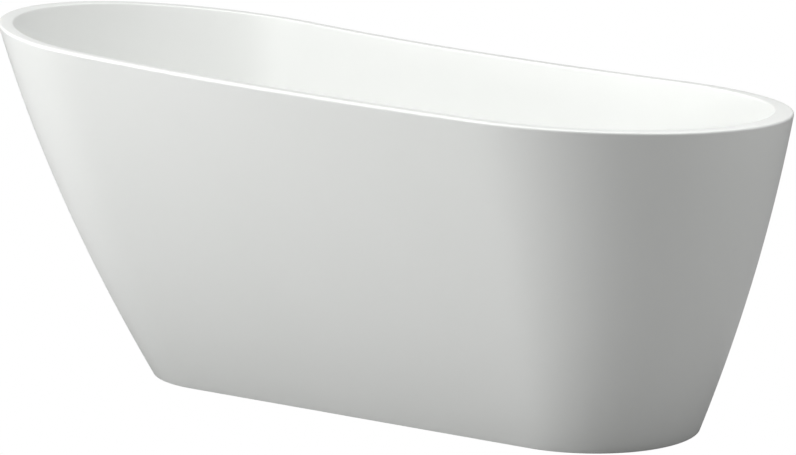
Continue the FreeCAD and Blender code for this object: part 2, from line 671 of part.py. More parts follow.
def make_tail():
    """The tailpiece, its washer and the slip nut that clamps it into the tee."""
    tail_top = "tee_foot + tail_entry"
    tail = turned("tail", [
        ("tail_bore", "tail_end"), ("tail_radius", "tail_end"), ("tail_radius", "tail_step"),
        ("tail_spigot", "tail_step"), ("tail_spigot", tail_top), ("tail_bore", tail_top)])
    keep(bind(tail, x="drain_place"), "tailpiece")
    washer_low = "tee_foot - tail_washer_thick"
    ring("tail_ring", "tail_washer", "tail_spigot", "tee_radius", washer_low, "tee_foot")
    nut = turned("tail_nut", [
        ("slip_nut_bore", "slip_nut_foot"), ("slip_nut_radius", "slip_nut_foot"),
        ("slip_nut_radius", "slip_nut_top"), ("tee_radius", "slip_nut_top"),
        ("tee_radius", washer_low), ("slip_nut_bore", washer_low)])
    keep(bind(nut, x="drain_place"), "slip_nut")


def make_stopper():
    """The push-up stopper: a cap, its seal and the sleeve that slides on a fixed post."""
    seat = "(basin_floor - drain_dish_depth + washer_thick + flange_thick)"
    under = f"({seat} + cap_gap)"
    cap = turned("cap", [
        (0, under), ("cap_radius", under), ("cap_radius", f"{under} + 1.5"),
        ("cap_radius - 5", f"{seat} + cap_rise - 2"),
        ("cap_radius - 17", f"{seat} + cap_rise - 0.5"), (0, f"{seat} + cap_rise")])
    keep(bind(cap, x="drain_place"), "stopper_cap")
    seal = turned("seal", [
        ("seal_bore", f"{seat} - seal_depth"), ("seal_foot_radius", f"{seat} - seal_depth"),
        ("seal_top_radius", seat), ("seal_top_radius", under), ("seal_bore", under)])
    keep(bind(seal, x="drain_place"), "stopper_seal")
    sleeve = turned("sleeve", [
        ("post_radius + sleeve_gap", "sleeve_foot"), ("sleeve_radius", "sleeve_foot"),
        ("sleeve_radius", under), (0, under), (0, "sleeve_roof"),
        ("post_radius + sleeve_gap", "sleeve_roof")])
    keep(bind(sleeve, x="drain_place"), "stopper_sleeve")
    post = turned("post", [
        (0, "post_foot"), ("post_radius", "post_foot"), ("post_radius", "post_top - 1"),
        ("post_radius - 1", "post_top"), (0, "post_top")])
    keep(bind(post, x="drain_place"), "stopper_post")


def make_waste():
    floor = "(basin_floor - drain_dish_depth)"
    ring("sealing_ring", "drain_washer", "drain_hole", "flange_radius - 2", floor,
         f"{floor} + washer_thick")
    ring("drain_seal", "drain_gasket", "drain_hole", "flange_radius",
         f"{floor} - basin_wall - gasket_thick", f"{floor} - basin_wall")
    make_drain_flange()
    make_tee()
    make_tail()
    make_stopper()


# ---- overflow ----

def place_on_wall(item, label):
    item.Placement = overflow_frame()
    return keep(item, label)


def make_overflow_fittings():
    """What is clamped through the foot wall: elbow, gasket, ring nut and cover."""
    elbow_face = "(overflow_pad + overflow_gasket_thick)"
    gasket = turned("overflow_seal", [
        ("overflow_hole", "overflow_pad"), ("overflow_clamp", "overflow_pad"),
        ("overflow_clamp", elbow_face), ("overflow_hole", elbow_face)])
    place_on_wall(gasket, "overflow_gasket")

    flange_back = f"({elbow_face} + overflow_flange_thick)"
    outer = turned("elbow_outer", [
        (0, "0 - spigot_reach"), ("overflow_spigot", "0 - spigot_reach"),
        ("overflow_spigot", elbow_face), ("overflow_clamp", elbow_face),
        ("overflow_clamp", flange_back), ("elbow_radius", flange_back),
        ("elbow_radius", "elbow_back - 4"), ("elbow_radius - 4", "elbow_back"),
        (0, "elbow_back")])
    chamber = cylinder("elbow_chamber", "elbow_bore", "elbow_back + 2",
                       z="0 - spigot_reach - 1")
    down = Rotation(Vector(0, 1, 0), 90)
    outlet = cylinder("elbow_outlet", "socket_radius", "outlet_length", down, z="elbow_depth")
    bore = cylinder("elbow_bore", "pipe_bore", "outlet_length + 2", down, z="elbow_depth")
    socket = cylinder("elbow_socket", "pipe_radius", "socket_depth + 2", down,
                      x="outlet_length - socket_depth", z="elbow_depth")
    elbow = cut("elbow", fuse("elbow_solid", outer, outlet), fuse("elbow_hollow", chamber, bore,
                                                                  socket))
    place_on_wall(elbow, "overflow_elbow")

    nut = turned("overflow_nut", [
        ("overflow_spigot", "0 - ring_nut_height"),
        ("ring_nut_radius - 1", "0 - ring_nut_height"),
        ("ring_nut_radius", "1 - ring_nut_height"), ("ring_nut_radius", 0),
        ("overflow_spigot", 0)])
    place_on_wall(nut, "overflow_ring_nut")
    make_overflow_cover()


def make_overflow_cover():
    """The cover, which clips over the ring nut, with its three water slots."""
    inside = "(cover_face - cover_depth)"
    rim_bore, clip_radius = "cover_radius - cover_wall", "ring_nut_radius + clip_wall"
    cap = turned("cover_turning", [
        (0, "0 - cover_depth"), ("cover_radius - 3", "0 - cover_depth"),
        ("cover_radius", "cover_wall - cover_depth"), ("cover_radius", "0 - cover_gap"),
        (rim_bore, "0 - cover_gap"), (rim_bore, inside), (clip_radius, inside),
        (clip_radius, "0 - clip_gap"), ("ring_nut_radius", "0 - clip_gap"),
        ("ring_nut_radius", inside), (0, inside)])
    slots = [box(f"cover_slot_{index}", "slot_length", "slot_width", "slot_height",
                 x="slot_start", y=f"slot_pitch * {index} - slot_width / 2",
                 z="0 - cover_gap - slot_height")
             for index in (-1, 0, 1)]
    place_on_wall(cut("cover", cap, fuse("cover_slots", *slots)), "overflow_cover")


def lower_bend_corner():
    """Where the sloping pipe's centre line meets the level one."""
    frame = overflow_frame()
    top = frame.multVec(Vector(0, 0, VALUE["elbow_depth"]))
    down = frame.Rotation.multVec(Vector(1, 0, 0))
    return top + down * ((top.z - VALUE["branch_height"]) / -down.z)


def make_overflow_pipes():
    """The sloping pipe, the lower bend and the level pipe to the tee."""
    frame = overflow_frame()
    down = frame.Rotation.multVec(Vector(1, 0, 0))
    corner = lower_bend_corner()
    start = frame.multVec(Vector(VALUE["outlet_length"] - VALUE["socket_depth"], 0,
                                 VALUE["elbow_depth"]))
    turn_angle = 90 - VALUE["foot_wall_lean"]
    setback = VALUE["bend_radius"] * math.tan(math.radians(turn_angle / 2))
    socket_end = setback + 2
    length = (corner - start).Length - socket_end
    pipe = turned("sloping_pipe", [("pipe_bore", 0), ("pipe_radius", 0), ("pipe_radius", length),
                                   ("pipe_bore", length)])
    pipe.Placement = Placement(start, Rotation(Vector(0, 0, 1), down))
    keep(pipe, "overflow_pipe")

    tee_mouth = VALUE["drain_place"] + VALUE["branch_length"] - VALUE["socket_depth"]
    level_length = corner.x - socket_end - tee_mouth
    level = turned("level_pipe", [("pipe_bore", 0), ("pipe_radius", 0),
                                  ("pipe_radius", level_length), ("pipe_bore", level_length)])
    sideways = Rotation(Vector(0, 0, 1), Vector(1, 0, 0))
    level.Placement = Placement(Vector(tee_mouth, 0, VALUE["branch_height"]), sideways)
    keep(level, "crossover_pipe")
    make_lower_bend(corner, down, setback, turn_angle)


def make_lower_bend(corner, down, setback, turn_angle):
    """The bend between the two pipes, with a socket at each end."""
    centre = corner - Vector(setback, 0, 0) + Vector(0, 0, VALUE["bend_radius"])
    swing = Placement(centre, Rotation(Vector(0, 0, -1), Vector(1, 0, 0), Vector(0, -1, 0),
                                       "ZXY"))
    ends = ((corner - Vector(setback, 0, 0), Vector(-1, 0, 0)), (corner - down * setback, -down))

    def run(name, radius, first, last):
        """A torus segment and a straight run out of each end of it."""
        torus = doc.addObject("Part::Torus", name + "_arc")
        torus.Angle3 = turn_angle
        bind(torus, Radius1="bend_radius", Radius2=radius)
        torus.Placement = swing
        parts = [torus]
        for index, (mouth, way) in enumerate(ends):
            straight = cylinder(f"{name}_run_{index}", radius, last - first)
            straight.Placement = Placement(mouth + way * first, Rotation(Vector(0, 0, 1), way))
            parts.append(straight)
        return parts

    depth = VALUE["socket_depth"]
    solid = fuse("bend_solid", *run("bend_outer", "socket_radius", -0.01, depth + 2))
    bores = run("bend_bore", "pipe_bore", -0.01, depth + 3)
    sockets = run("bend_socket", "pipe_radius", 2, depth + 3)[1:]
    keep(cut("bend", solid, fuse("bend_hollow", *bores, *sockets)), "overflow_bend")


# ---- building and writing ----

def check_document():
    """Stops before anything is written if an object failed or a shape is unsound."""
    for item in doc.Objects:
        if "Invalid" in item.State or "Error" in item.State:
            raise RuntimeError(f"{item.Name} ({item.Label}) failed: {item.State}")
    for item in nodes:
        if item.Shape.isNull() or not item.Shape.isValid() or item.Shape.Volume <= 0:
            raise RuntimeError(f"{item.Label} has no sound shape")


def main():
    fill_sheet()
    skirt_inside = make_shells()
    make_board()
    make_rails()
    make_cross_members()
    make_side_brackets(skirt_inside)
    make_rail_screws()
    make_feet()
    make_waste()
    make_overflow_fittings()
    make_overflow_pipes()
    doc.recompute()
    check_document()
    os.makedirs("parts", exist_ok=True)
    for item in nodes:
        item.Shape.exportStep(f"parts/{item.Label}.step")


main()
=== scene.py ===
import json
import math

import bmesh
import bpy
from mathutils import Matrix, Vector


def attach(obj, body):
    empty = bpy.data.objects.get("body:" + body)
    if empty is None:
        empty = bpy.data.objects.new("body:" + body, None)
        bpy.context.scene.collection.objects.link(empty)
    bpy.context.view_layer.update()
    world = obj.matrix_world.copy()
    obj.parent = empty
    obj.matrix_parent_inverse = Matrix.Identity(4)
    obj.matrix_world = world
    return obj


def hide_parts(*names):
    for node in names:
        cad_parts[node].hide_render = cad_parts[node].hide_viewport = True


# Freestanding single-slipper bathtub in metres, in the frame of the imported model:
# X from the raised head end to the low foot end, Z up from the floor.

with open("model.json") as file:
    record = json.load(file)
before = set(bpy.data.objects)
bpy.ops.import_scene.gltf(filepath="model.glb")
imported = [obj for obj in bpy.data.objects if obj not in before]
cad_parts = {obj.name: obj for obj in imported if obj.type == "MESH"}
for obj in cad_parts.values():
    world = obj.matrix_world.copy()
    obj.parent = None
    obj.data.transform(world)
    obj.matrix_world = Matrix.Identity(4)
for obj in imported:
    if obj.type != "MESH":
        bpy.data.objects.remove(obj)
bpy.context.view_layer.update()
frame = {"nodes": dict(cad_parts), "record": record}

# ---- driving dimensions ----

# Every level section of a shell is a slot: half circles joined by straight sides. A shell's
# head end, foot end and half width are given at three levels and run smoothly through them.
OUTER_LEVELS = (0.0, 0.380, 0.760)
OUTER_HEAD = (-0.514, -0.727, -0.857)
OUTER_FOOT = (0.695, 0.809, 0.870)
OUTER_HALF = (0.210, 0.316, 0.421)
SKIRT_WALL = 0.005
SKIRT_EDGE = 0.0012    # rounding of the skirt's lower edges
FOOT_LEAN = math.radians(22.5)
BASIN_FLOOR = 0.140
BASIN_LEVELS = (BASIN_FLOOR, 0.450, 0.760)
BASIN_HEAD = (-0.510, -0.690, -0.834)
BASIN_FOOT_LOW = 0.624
BASIN_FOOT = tuple(BASIN_FOOT_LOW + (level - BASIN_FLOOR) * math.tan(FOOT_LEAN)
                   for level in BASIN_LEVELS)
BASIN_HALF = (0.205, 0.300, 0.396)
BASIN_WALL = 0.006
BASIN_ROUND = 0.060    # fillet between the basin's walls and its floor

# The rim line is two shallow hanging arcs that meet without a bend at the tub's middle.
RIM_LIP = 0.022        # depth of the rim's turned-down lip
RIM_PLATE = 0.006      # thickness of the flat rim
RIM_OUTER_ROUND = 0.0045
RIM_INNER_ROUND = 0.0055
RIM_HEAD_REACH = (-0.900, 0.737)
RIM_MIDDLE = 0.640
RIM_FOOT_REACH = (0.900, 0.592)
RIM_HEAD_RADIUS = 12.7

END_STEPS = 72         # steps round each half-circle end
SIDE_STEPS = 40        # steps along each straight side
WALL_STEPS = 56        # steps up a wall
LIP_STEPS = 6          # steps up the rim's lip
ROUND_STEPS = 8        # steps round a rim edge
EDGE_STEPS = 4         # steps round a small edge
FILLET_STEPS = 14      # steps round the fillet at the basin's floor
FLOOR_STEPS = 12       # steps across the basin's floor
TURN_STEPS = 96        # steps round a turned piece
RIM_PASSES = 12        # passes that settle where a wall meets the rim line
WALL_PROBE = 0.02      # how far along a wall its direction is taken
FLOOR_PROBE = 0.03     # the same at the basin's floor
TINY = 1e-6            # points nearer than this are one point
EASE = 0.0004          # easing of the ends and edges of bars and tubes
FINE_EASE = 0.0001     # easing of small cutters
SHARP_ANGLE = math.radians(35)
ORIGIN = Matrix.Identity(4)


# ---- the tub's surfaces as formulas ----

def through(levels, values, height):
    """The smooth curve through three values at three levels."""
    low, mid, high = levels
    return (values[0] * (height - mid) * (height - high) / ((low - mid) * (low - high))
            + values[1] * (height - low) * (height - high) / ((mid - low) * (mid - high))
            + values[2] * (height - low) * (height - mid) / ((high - low) * (high - mid)))


def outline_stations():
    """Where the rows of an outline lie: (end, angle) on the half circles, (side, share) between."""
    stations = []
    for end, side, start in (("head", "near", math.pi / 2), ("foot", "far", -math.pi / 2)):
        stations += [(end, start + math.pi * step / END_STEPS) for step in range(END_STEPS)]
        stations += [(side, step / SIDE_STEPS) for step in range(SIDE_STEPS)]
    return stations


STATIONS = outline_stations()


def slot_point(station, head, foot, half):
    """A point of a level outline: half circles joined by straight sides."""
    kind, place = station
    start, end = head + half, foot - half
    if kind == "head":
        return start + half * math.cos(place), half * math.sin(place)
    if kind == "foot":
        return end + half * math.cos(place), half * math.sin(place)
    if kind == "near":
        return start + (end - start) * place, -half
    return end + (start - end) * place, half


def shell_point(levels, spans, station, height, growth):
    """A point of a shell's side at a height, moved outwards by a growth."""
    head, foot, half = (through(levels, values, height) for values in spans)
    x, y = slot_point(station, head - growth, foot + growth, half + growth)
    return Vector((x, y, height))


def outer_point(station, height, inset=0.0):
    """A point of the skirt's outside, or drawn in by the inset."""
    spans = (OUTER_HEAD, OUTER_FOOT, OUTER_HALF)
    return shell_point(OUTER_LEVELS, spans, station, height, -inset)


def basin_point(station, height, growth=0.0):
    """A point of the basin's inside, or grown by the wall for its back."""
    spans = (BASIN_HEAD, BASIN_FOOT, BASIN_HALF)
    return shell_point(BASIN_LEVELS, spans, station, height, growth)


def sag_through(start, end, radius, x):
    """The shallow hanging arc of a radius between two points: its height at x, its centre."""
    span_x, span_z = end[0] - start[0], end[1] - start[1]
    chord = math.hypot(span_x, span_z)
    depth = math.sqrt(radius ** 2 - chord ** 2 / 4)
    centre_x = (start[0] + end[0]) / 2 - depth * span_z / chord
    centre_z = (start[1] + end[1]) / 2 + depth * span_x / chord
    return centre_z - math.sqrt(radius ** 2 - (x - centre_x) ** 2), centre_x, centre_z


def foot_arc_radius():
    """The radius that lets the foot arc leave the middle along the head arc's tangent."""
    middle = (0.0, RIM_MIDDLE)
    _, centre_x, centre_z = sag_through(RIM_HEAD_REACH, middle, RIM_HEAD_RADIUS, 0.0)
    away = Vector((-centre_x, RIM_MIDDLE - centre_z)).normalized()
    chord = Vector((RIM_FOOT_REACH[0], RIM_FOOT_REACH[1] - RIM_MIDDLE))
    return chord.length_squared / (2 * -chord.dot(away))


RIM_FOOT_RADIUS = foot_arc_radius()


def rim_height(x):
    """Height of the rim line at a place along the tub."""
    middle = (0.0, RIM_MIDDLE)
    if x < 0:
        return sag_through(RIM_HEAD_REACH, middle, RIM_HEAD_RADIUS, x)[0]
    return sag_through(middle, RIM_FOOT_REACH, RIM_FOOT_RADIUS, x)[0]


def meet_rim(surface, station, drop, growth=0.0):
    """Where a wall's own line at a station reaches the rim line let down by a drop."""
    height = RIM_MIDDLE
    for _ in range(RIM_PASSES):
        point = surface(station, height, growth)
        height = rim_height(point.x) - drop
    return surface(station, height, growth)


# ---- materials ----

NOISE_LOW, NOISE_HIGH = 0.3, 0.7    # the span that most of a noise's values lie in
GRAIN_STRETCH = (2.0, 30.0, 30.0)
METAL = {"Metallic": 1.0}
RUBBER = ((90.0, 3.0, 0.65, 0.85), (1200.0, 3.0, 0.2, 0.0002), {})
PVC = ((50.0, 3.0, 0.36, 0.5), (700.0, 3.0, 0.06, 0.0001), {})

# For each slot: base colour and roughness; the scale of the tint's noise and its two colours;
# the scale and detail of the roughness noise, and its range; the scale and detail of the bump
# noise, its strength and its depth; and the shader's other sockets.
FINISHES = (
    ("shell_acrylic", (0.797, 0.808, 0.79), 0.32,
     (3.0, (0.790, 0.803, 0.784), (0.803, 0.813, 0.797)), (9.0, 4.0, 0.29, 0.35),
     (260.0, 2.0, 0.05, 0.0002),
     {"Coat Weight": 0.25, "Coat Roughness": 0.12, "Specular IOR Level": 0.45}),
    ("frame_paint", (0.045, 0.047, 0.05), 0.45,
     (14.0, (0.04, 0.042, 0.045), (0.055, 0.057, 0.06)), (30.0, 3.0, 0.4, 0.52),
     (1400.0, 1.0, 0.2, 0.0002), {}),
    ("zinc_steel", (0.60, 0.61, 0.62), 0.32,
     (60.0, (0.52, 0.53, 0.55), (0.66, 0.67, 0.67)), (120.0, 3.0, 0.25, 0.4),
     (900.0, 3.0, 0.08, 0.0001), METAL),
    ("pad_rubber", (0.012,) * 3, 0.75,
     (40.0, (0.0096,) * 3, (0.0156,) * 3), *RUBBER),
    ("seal_rubber", (0.02,) * 3, 0.75,
     (40.0, (0.016,) * 3, (0.026,) * 3), *RUBBER),
    ("chrome_trim", (0.78, 0.79, 0.80), 0.07,
     (20.0, (0.76, 0.77, 0.78), (0.80, 0.81, 0.82)), (70.0, 3.0, 0.05, 0.10),
     (400.0, 3.0, 0.01, 0.0001), METAL),
    ("brass", (0.72, 0.50, 0.22), 0.28,
     (80.0, (0.62, 0.42, 0.17), (0.76, 0.55, 0.26)), (160.0, 3.0, 0.2, 0.36),
     (900.0, 3.0, 0.06, 0.0001), METAL),
    ("grey_pvc", (0.26, 0.265, 0.27), 0.42,
     (12.0, (0.26, 0.265, 0.27), (0.29, 0.295, 0.30)), *PVC),
    ("white_pvc", (0.70, 0.70, 0.68), 0.42,
     (12.0, (0.70, 0.70, 0.68), (0.76, 0.76, 0.74)), *PVC))


class Surface:
    """A node material: a Principled shader with procedural colour, roughness and bump."""

    def __init__(self, name, colour, roughness, sockets):
        self.material = bpy.data.materials.new(name)
        self.material.use_nodes = True
        self.material.diffuse_color = (*colour, 1.0)
        self.tree = self.material.node_tree
        self.shader = self.tree.nodes["Principled BSDF"]
        self.shader.inputs["Base Color"].default_value = (*colour, 1.0)
        self.shader.inputs["Roughness"].default_value = roughness
        for socket, value in sockets.items():
            self.shader.inputs[socket].default_value = value
        self.place = self.tree.nodes.new("ShaderNodeTexCoord").outputs["Object"]

    def node(self, kind, **values):
        """A new node with values on its inputs, whose names are written with underscores."""
        node = self.tree.nodes.new("ShaderNode" + kind)
        for socket, value in values.items():
            node.inputs[socket.replace("_", " ")].default_value = value
        return node

    def link(self, output, node, socket):
        self.tree.links.new(output, node.inputs[socket])

    def stretched(self, scale):
        """Object coordinates scaled unevenly, for grain."""
        mapping = self.node("Mapping", Scale=scale)
        self.link(self.place, mapping, "Vector")
        return mapping.outputs["Vector"]

    def noise(self, scale, detail=3.0, vector=None, distortion=0.0):
        noise = self.node("TexNoise", Scale=scale, Detail=detail, Distortion=distortion)
        self.link(vector or self.place, noise, "Vector")
        return noise.outputs["Fac"]

    def vary_colour(self, noise, *colours):
        """Runs the base colour through the given colours."""
        ramp = self.node("ValToRGB")
        steps = ramp.color_ramp.elements
        while len(steps) < len(colours):
            steps.new(0.5)
        for index, colour in enumerate(colours):
            share = index / (len(colours) - 1)
            steps[index].position = NOISE_LOW + (NOISE_HIGH - NOISE_LOW) * share
            steps[index].color = (*colour, 1.0)
        self.link(noise, ramp, "Fac")
        self.link(ramp.outputs["Color"], self.shader, "Base Color")

    def vary_roughness(self, noise, low, high):
        spread = self.node("MapRange", From_Min=NOISE_LOW, From_Max=NOISE_HIGH,
                           To_Min=low, To_Max=high)
        self.link(noise, spread, "Value")
        self.link(spread.outputs["Result"], self.shader, "Roughness")

    def bump(self, noise, strength, distance):
        bump = self.node("Bump", Strength=strength, Distance=distance)
        self.link(noise, bump, "Height")
        self.link(bump.outputs["Normal"], self.shader, "Normal")


def finish(name, colour, roughness, tint, polish, bump, sockets):
    """The material that a row of the finishes describes."""
    surface = Surface(name, colour, roughness, sockets)
    surface.vary_colour(surface.noise(tint[0]), *tint[1:])
    surface.vary_roughness(surface.noise(*polish[:2]), *polish[2:])
    surface.bump(surface.noise(*bump[:2]), *bump[2:])
    return surface.material


def plywood():
    """Bare plywood: one stretched noise gives the grain its colour, roughness and relief."""
    surface = Surface("plywood", (0.60, 0.44, 0.28), 0.6, {})
    grain = surface.noise(6.0, 8.0, surface.stretched(GRAIN_STRETCH), 0.4)
    surface.vary_colour(grain, (0.46, 0.31, 0.18), (0.62, 0.46, 0.29), (0.72, 0.56, 0.38))
    surface.vary_roughness(grain, 0.5, 0.7)
    surface.bump(grain, 0.25, 0.0006)
    return surface.material


MATERIALS = {row[0]: finish(*row) for row in FINISHES}
MATERIALS["plywood"] = plywood()


# ---- mesh helpers ----

def new_object(name, data):
    """A new object in the scene."""
    thing = bpy.data.objects.new(name, data)
    bpy.context.scene.collection.objects.link(thing)
    return thing


def built(name, shape):
    """A new object made from a bmesh."""
    mesh = bpy.data.meshes.new(name)
    shape.to_mesh(mesh)
    shape.free()
    return new_object(name, mesh)


def discard(piece):
    """Removes a helper object and its mesh."""
    mesh = piece.data
    bpy.data.objects.remove(piece)
    bpy.data.meshes.remove(mesh)


def finished(piece, body, slot, node):
    """Shades a piece, gives it its slot's material, and ties it to the model."""
    mesh = piece.data
    mesh.shade_smooth()
    mesh.set_sharp_from_angle(angle=SHARP_ANGLE)
    mesh.materials.clear()
    mesh.materials.append(MATERIALS[slot])
    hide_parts(node)
    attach(piece, body)


def skin(name, rows, closed=False):
    """A mesh through rings of points; a closed skin joins its last ring to its first."""
    shape = bmesh.new()
    rings = [[shape.verts.new(point) for point in row] for row in rows]
    pairs = list(zip(rings, rings[1:]))
    if closed:
        pairs.append((rings[-1], rings[0]))
    for lower, upper in pairs:
        count = len(lower)
        for index in range(count):
            following = (index + 1) % count
            shape.faces.new((lower[index], lower[following], upper[following], upper[index]))
    bmesh.ops.remove_doubles(shape, verts=shape.verts, dist=TINY)
    bmesh.ops.recalc_face_normals(shape, faces=shape.faces)
    return built(name, shape)


def rounded_corner(corner, towards_a, towards_b, radius, steps=ROUND_STEPS):
    """Points round a corner of the section, from its first side to its second."""
    a, b = towards_a.normalized(), towards_b.normalized()
    opening = a.angle(b)
    reach = radius / math.tan(opening / 2)
    centre = corner + (a + b).normalized() * radius / math.sin(opening / 2)
    first, last = corner + a * reach - centre, corner + b * reach - centre
    swing = first.angle(last)
    return [centre + (first * math.sin(swing * (1 - share)) + last * math.sin(swing * share))
            / math.sin(swing) for share in (step / steps for step in range(steps + 1))]


def apply_boolean(piece, cutter, operation):
    """Joins or cuts with a helper object, which is then removed."""
    modifier = piece.modifiers.new("shape", "BOOLEAN")
    modifier.operation = operation
    modifier.solver = "EXACT"
    modifier.object = cutter
    graph = bpy.context.evaluated_depsgraph_get()
    mesh = bpy.data.meshes.new_from_object(piece.evaluated_get(graph))
    piece.modifiers.clear()
    old = piece.data
    piece.data = mesh
    mesh.name = old.name
    bpy.data.meshes.remove(old)
    discard(cutter)


def disc(name, radius, low, high, place, segments=TURN_STEPS):
    """A plain helper cylinder between two heights of a local frame."""
    shape = bmesh.new()
    bmesh.ops.create_cone(shape, cap_ends=True, segments=segments, radius1=radius,
                          radius2=radius, depth=high - low,
                          matrix=place @ Matrix.Translation((0, 0, (low + high) / 2)))
    return built(name, shape)


# ---- the two shells ----

def wall_rows(surface, lower, upper, growth, steps):
    """Rings that follow a wall between two rings of points, given by their heights."""
    rows = []
    for step in range(steps + 1):
        share = step / steps
        rows.append([surface(station, low.z + (high.z - low.z) * share, growth)
                     for station, low, high in zip(STATIONS, lower, upper)])
    return rows


def turned_rows(columns):
    """Columns of points, one per station, as rings."""
    return [list(row) for row in zip(*columns)]


def under_rim(surface, drop, growth=0.0):
    """The ring of points where a wall reaches the rim line let down by a drop."""
    return [meet_rim(surface, station, drop, growth) for station in STATIONS]


def make_skirt():
    """The outer shell: a wall that stands on the floor and ends at the seam under the rim."""
    seam = under_rim(outer_point, RIM_LIP)
    inside_seam = under_rim(outer_point, RIM_LIP, SKIRT_WALL)
    outside_low, inside_low = [], []
    for station in STATIONS:
        outside, inside = outer_point(station, 0.0), outer_point(station, 0.0, SKIRT_WALL)
        up = outer_point(station, WALL_PROBE) - outside
        across = inside - outside
        outside_low.append(rounded_corner(outside, across, up, SKIRT_EDGE, EDGE_STEPS))
        inside_low.append(rounded_corner(inside, up, -across, SKIRT_EDGE, EDGE_STEPS))
    outside_low, inside_low = turned_rows(outside_low), turned_rows(inside_low)
    rows = outside_low + wall_rows(outer_point, outside_low[-1], seam, 0.0, WALL_STEPS)[1:]
    rows += wall_rows(outer_point, inside_seam, inside_low[0], SKIRT_WALL, WALL_STEPS)[:-1]
    rows += inside_low
    piece = skin("outer_shell_skirt", rows, closed=True)
    finished(piece, "tub", "shell_acrylic", "outer_shell")


def floor_rows(ring, height):
    """Rings across the flat floor, closing on its middle line."""
    head = BASIN_HEAD[0] + BASIN_HALF[0]
    foot = BASIN_FOOT[0] - BASIN_HALF[0]
    middle = [Vector((min(max(point.x, head), foot), 0.0, height)) for point in ring]
    return [[point.lerp(end, step / FLOOR_STEPS) for point, end in zip(ring, middle)]
            for step in range(1, FLOOR_STEPS + 1)]


def floor_corner(station, height, growth, radius):
    """The fillet between the wall and the floor, from the wall inwards."""
    corner = basin_point(station, height, growth)
    up = basin_point(station, height + FLOOR_PROBE, growth) - corner
    inward = basin_point(station, height, growth - FLOOR_PROBE) - corner
    return rounded_corner(corner, up, inward, radius, FILLET_STEPS)


def rim_section(station):
    """The rounded section over the rim, from the lip's side to the basin's."""
    outer = meet_rim(outer_point, station, 0.0)
    inner = meet_rim(basin_point, station, 0.0)
    down = outer_point(station, outer.z - WALL_PROBE) - outer
    inner_down = basin_point(station, inner.z - WALL_PROBE) - inner
    across = inner - outer
    return (rounded_corner(outer, down, across, RIM_OUTER_ROUND)
            + rounded_corner(inner, -across, inner_down, RIM_INNER_ROUND))


def make_basin():
    """The inner shell: rim with its lip, walls, floor, and the back of all of them."""
    back_floor, back_round = BASIN_FLOOR - BASIN_WALL, BASIN_ROUND + BASIN_WALL
    rim = turned_rows([rim_section(station) for station in STATIONS])
    low = turned_rows([floor_corner(station, BASIN_FLOOR, 0.0, BASIN_ROUND)
                       for station in STATIONS])
    back_low = turned_rows([floor_corner(station, back_floor, BASIN_WALL, back_round)
                            for station in STATIONS])
    seam = under_rim(outer_point, RIM_LIP)
    rows = wall_rows(outer_point, seam, rim[0], 0.0, LIP_STEPS)[:-1] + rim
    rows += wall_rows(basin_point, rim[-1], low[0], 0.0, WALL_STEPS)[1:-1] + low
    rows += floor_rows(low[-1], BASIN_FLOOR)
    lip = under_rim(outer_point, RIM_LIP, SKIRT_WALL)
    plate = under_rim(outer_point, RIM_PLATE, SKIRT_WALL)
    root = under_rim(basin_point, RIM_PLATE, BASIN_WALL)
    back = wall_rows(outer_point, lip, plate, SKIRT_WALL, LIP_STEPS // 2)
    back += wall_rows(basin_point, root, back_low[0], BASIN_WALL, WALL_STEPS // 2)[:-1]
    back += back_low + floor_rows(back_low[-1], back_floor)
    piece = skin("inner_shell_basin", rows[::-1] + back)
    drill_basin(piece)
    finished(piece, "tub", "shell_acrylic", "inner_shell")


OVERFLOW_HEIGHT = 0.475
OVERFLOW_PAD, OVERFLOW_SEAT, OVERFLOW_HOLE = 0.040, 0.038, 0.023    # radii
PAD_LOW, PAD_HIGH = 0.002, 0.008
DRAIN_X = 0.450
DRAIN_BOSS, DRAIN_DISH, DRAIN_HOLE = 0.0445, 0.045, 0.025           # radii
DRAIN_SEAT = BASIN_FLOOR - 0.003
BOSS_HEIGHT = 0.005
CUT_PAST = 0.020       # how far a shell's cutter starts clear of it
CUT_THROUGH = 0.030    # how far it reaches to go through a wall


def overflow_place():
    """The overflow's own frame: Z runs out through the foot wall and X down along it."""
    reach = BASIN_FOOT[0] + (OVERFLOW_HEIGHT - BASIN_FLOOR) * math.tan(FOOT_LEAN)
    turn = Matrix.Rotation(math.pi / 2 + FOOT_LEAN, 4, "Y")
    return Matrix.Translation((reach, 0.0, OVERFLOW_HEIGHT)) @ turn


OVERFLOW = overflow_place()
DRAIN = Matrix.Translation((DRAIN_X, 0.0, 0.0))


def drill_basin(piece):
    """Thickens the basin at the waste and the overflow, then cuts their seats and holes."""
    under, above = DRAIN_SEAT - BASIN_WALL, BASIN_FLOOR + CUT_PAST
    for place, radius, low, high, operation in (
            (OVERFLOW, OVERFLOW_PAD, PAD_LOW, PAD_HIGH, "UNION"),
            (DRAIN, DRAIN_BOSS, under, under + BOSS_HEIGHT, "UNION"),
            (OVERFLOW, OVERFLOW_SEAT, -CUT_PAST, 0.0, "DIFFERENCE"),
            (OVERFLOW, OVERFLOW_HOLE, -CUT_THROUGH, CUT_THROUGH, "DIFFERENCE"),
            (DRAIN, DRAIN_DISH, DRAIN_SEAT, above, "DIFFERENCE"),
            (DRAIN, DRAIN_HOLE, BASIN_FLOOR - CUT_THROUGH, above, "DIFFERENCE")):
        apply_boolean(piece, disc("cutter", radius, low, high, place), operation)


# ---- turned and hexagonal pieces ----

ROUND_SHARE = 0.45     # the share of a section's side that a rounding may take
NEARLY_STRAIGHT = math.radians(176)
HEX_CHAMFER, HEX_FACE = 0.6, 0.97
RUNOUT = 0.8           # depth to which a thread's ends are turned down


def full_turn(count):
    """Evenly spaced angles round a whole turn."""
    return [2 * math.pi * step / count for step in range(count)]


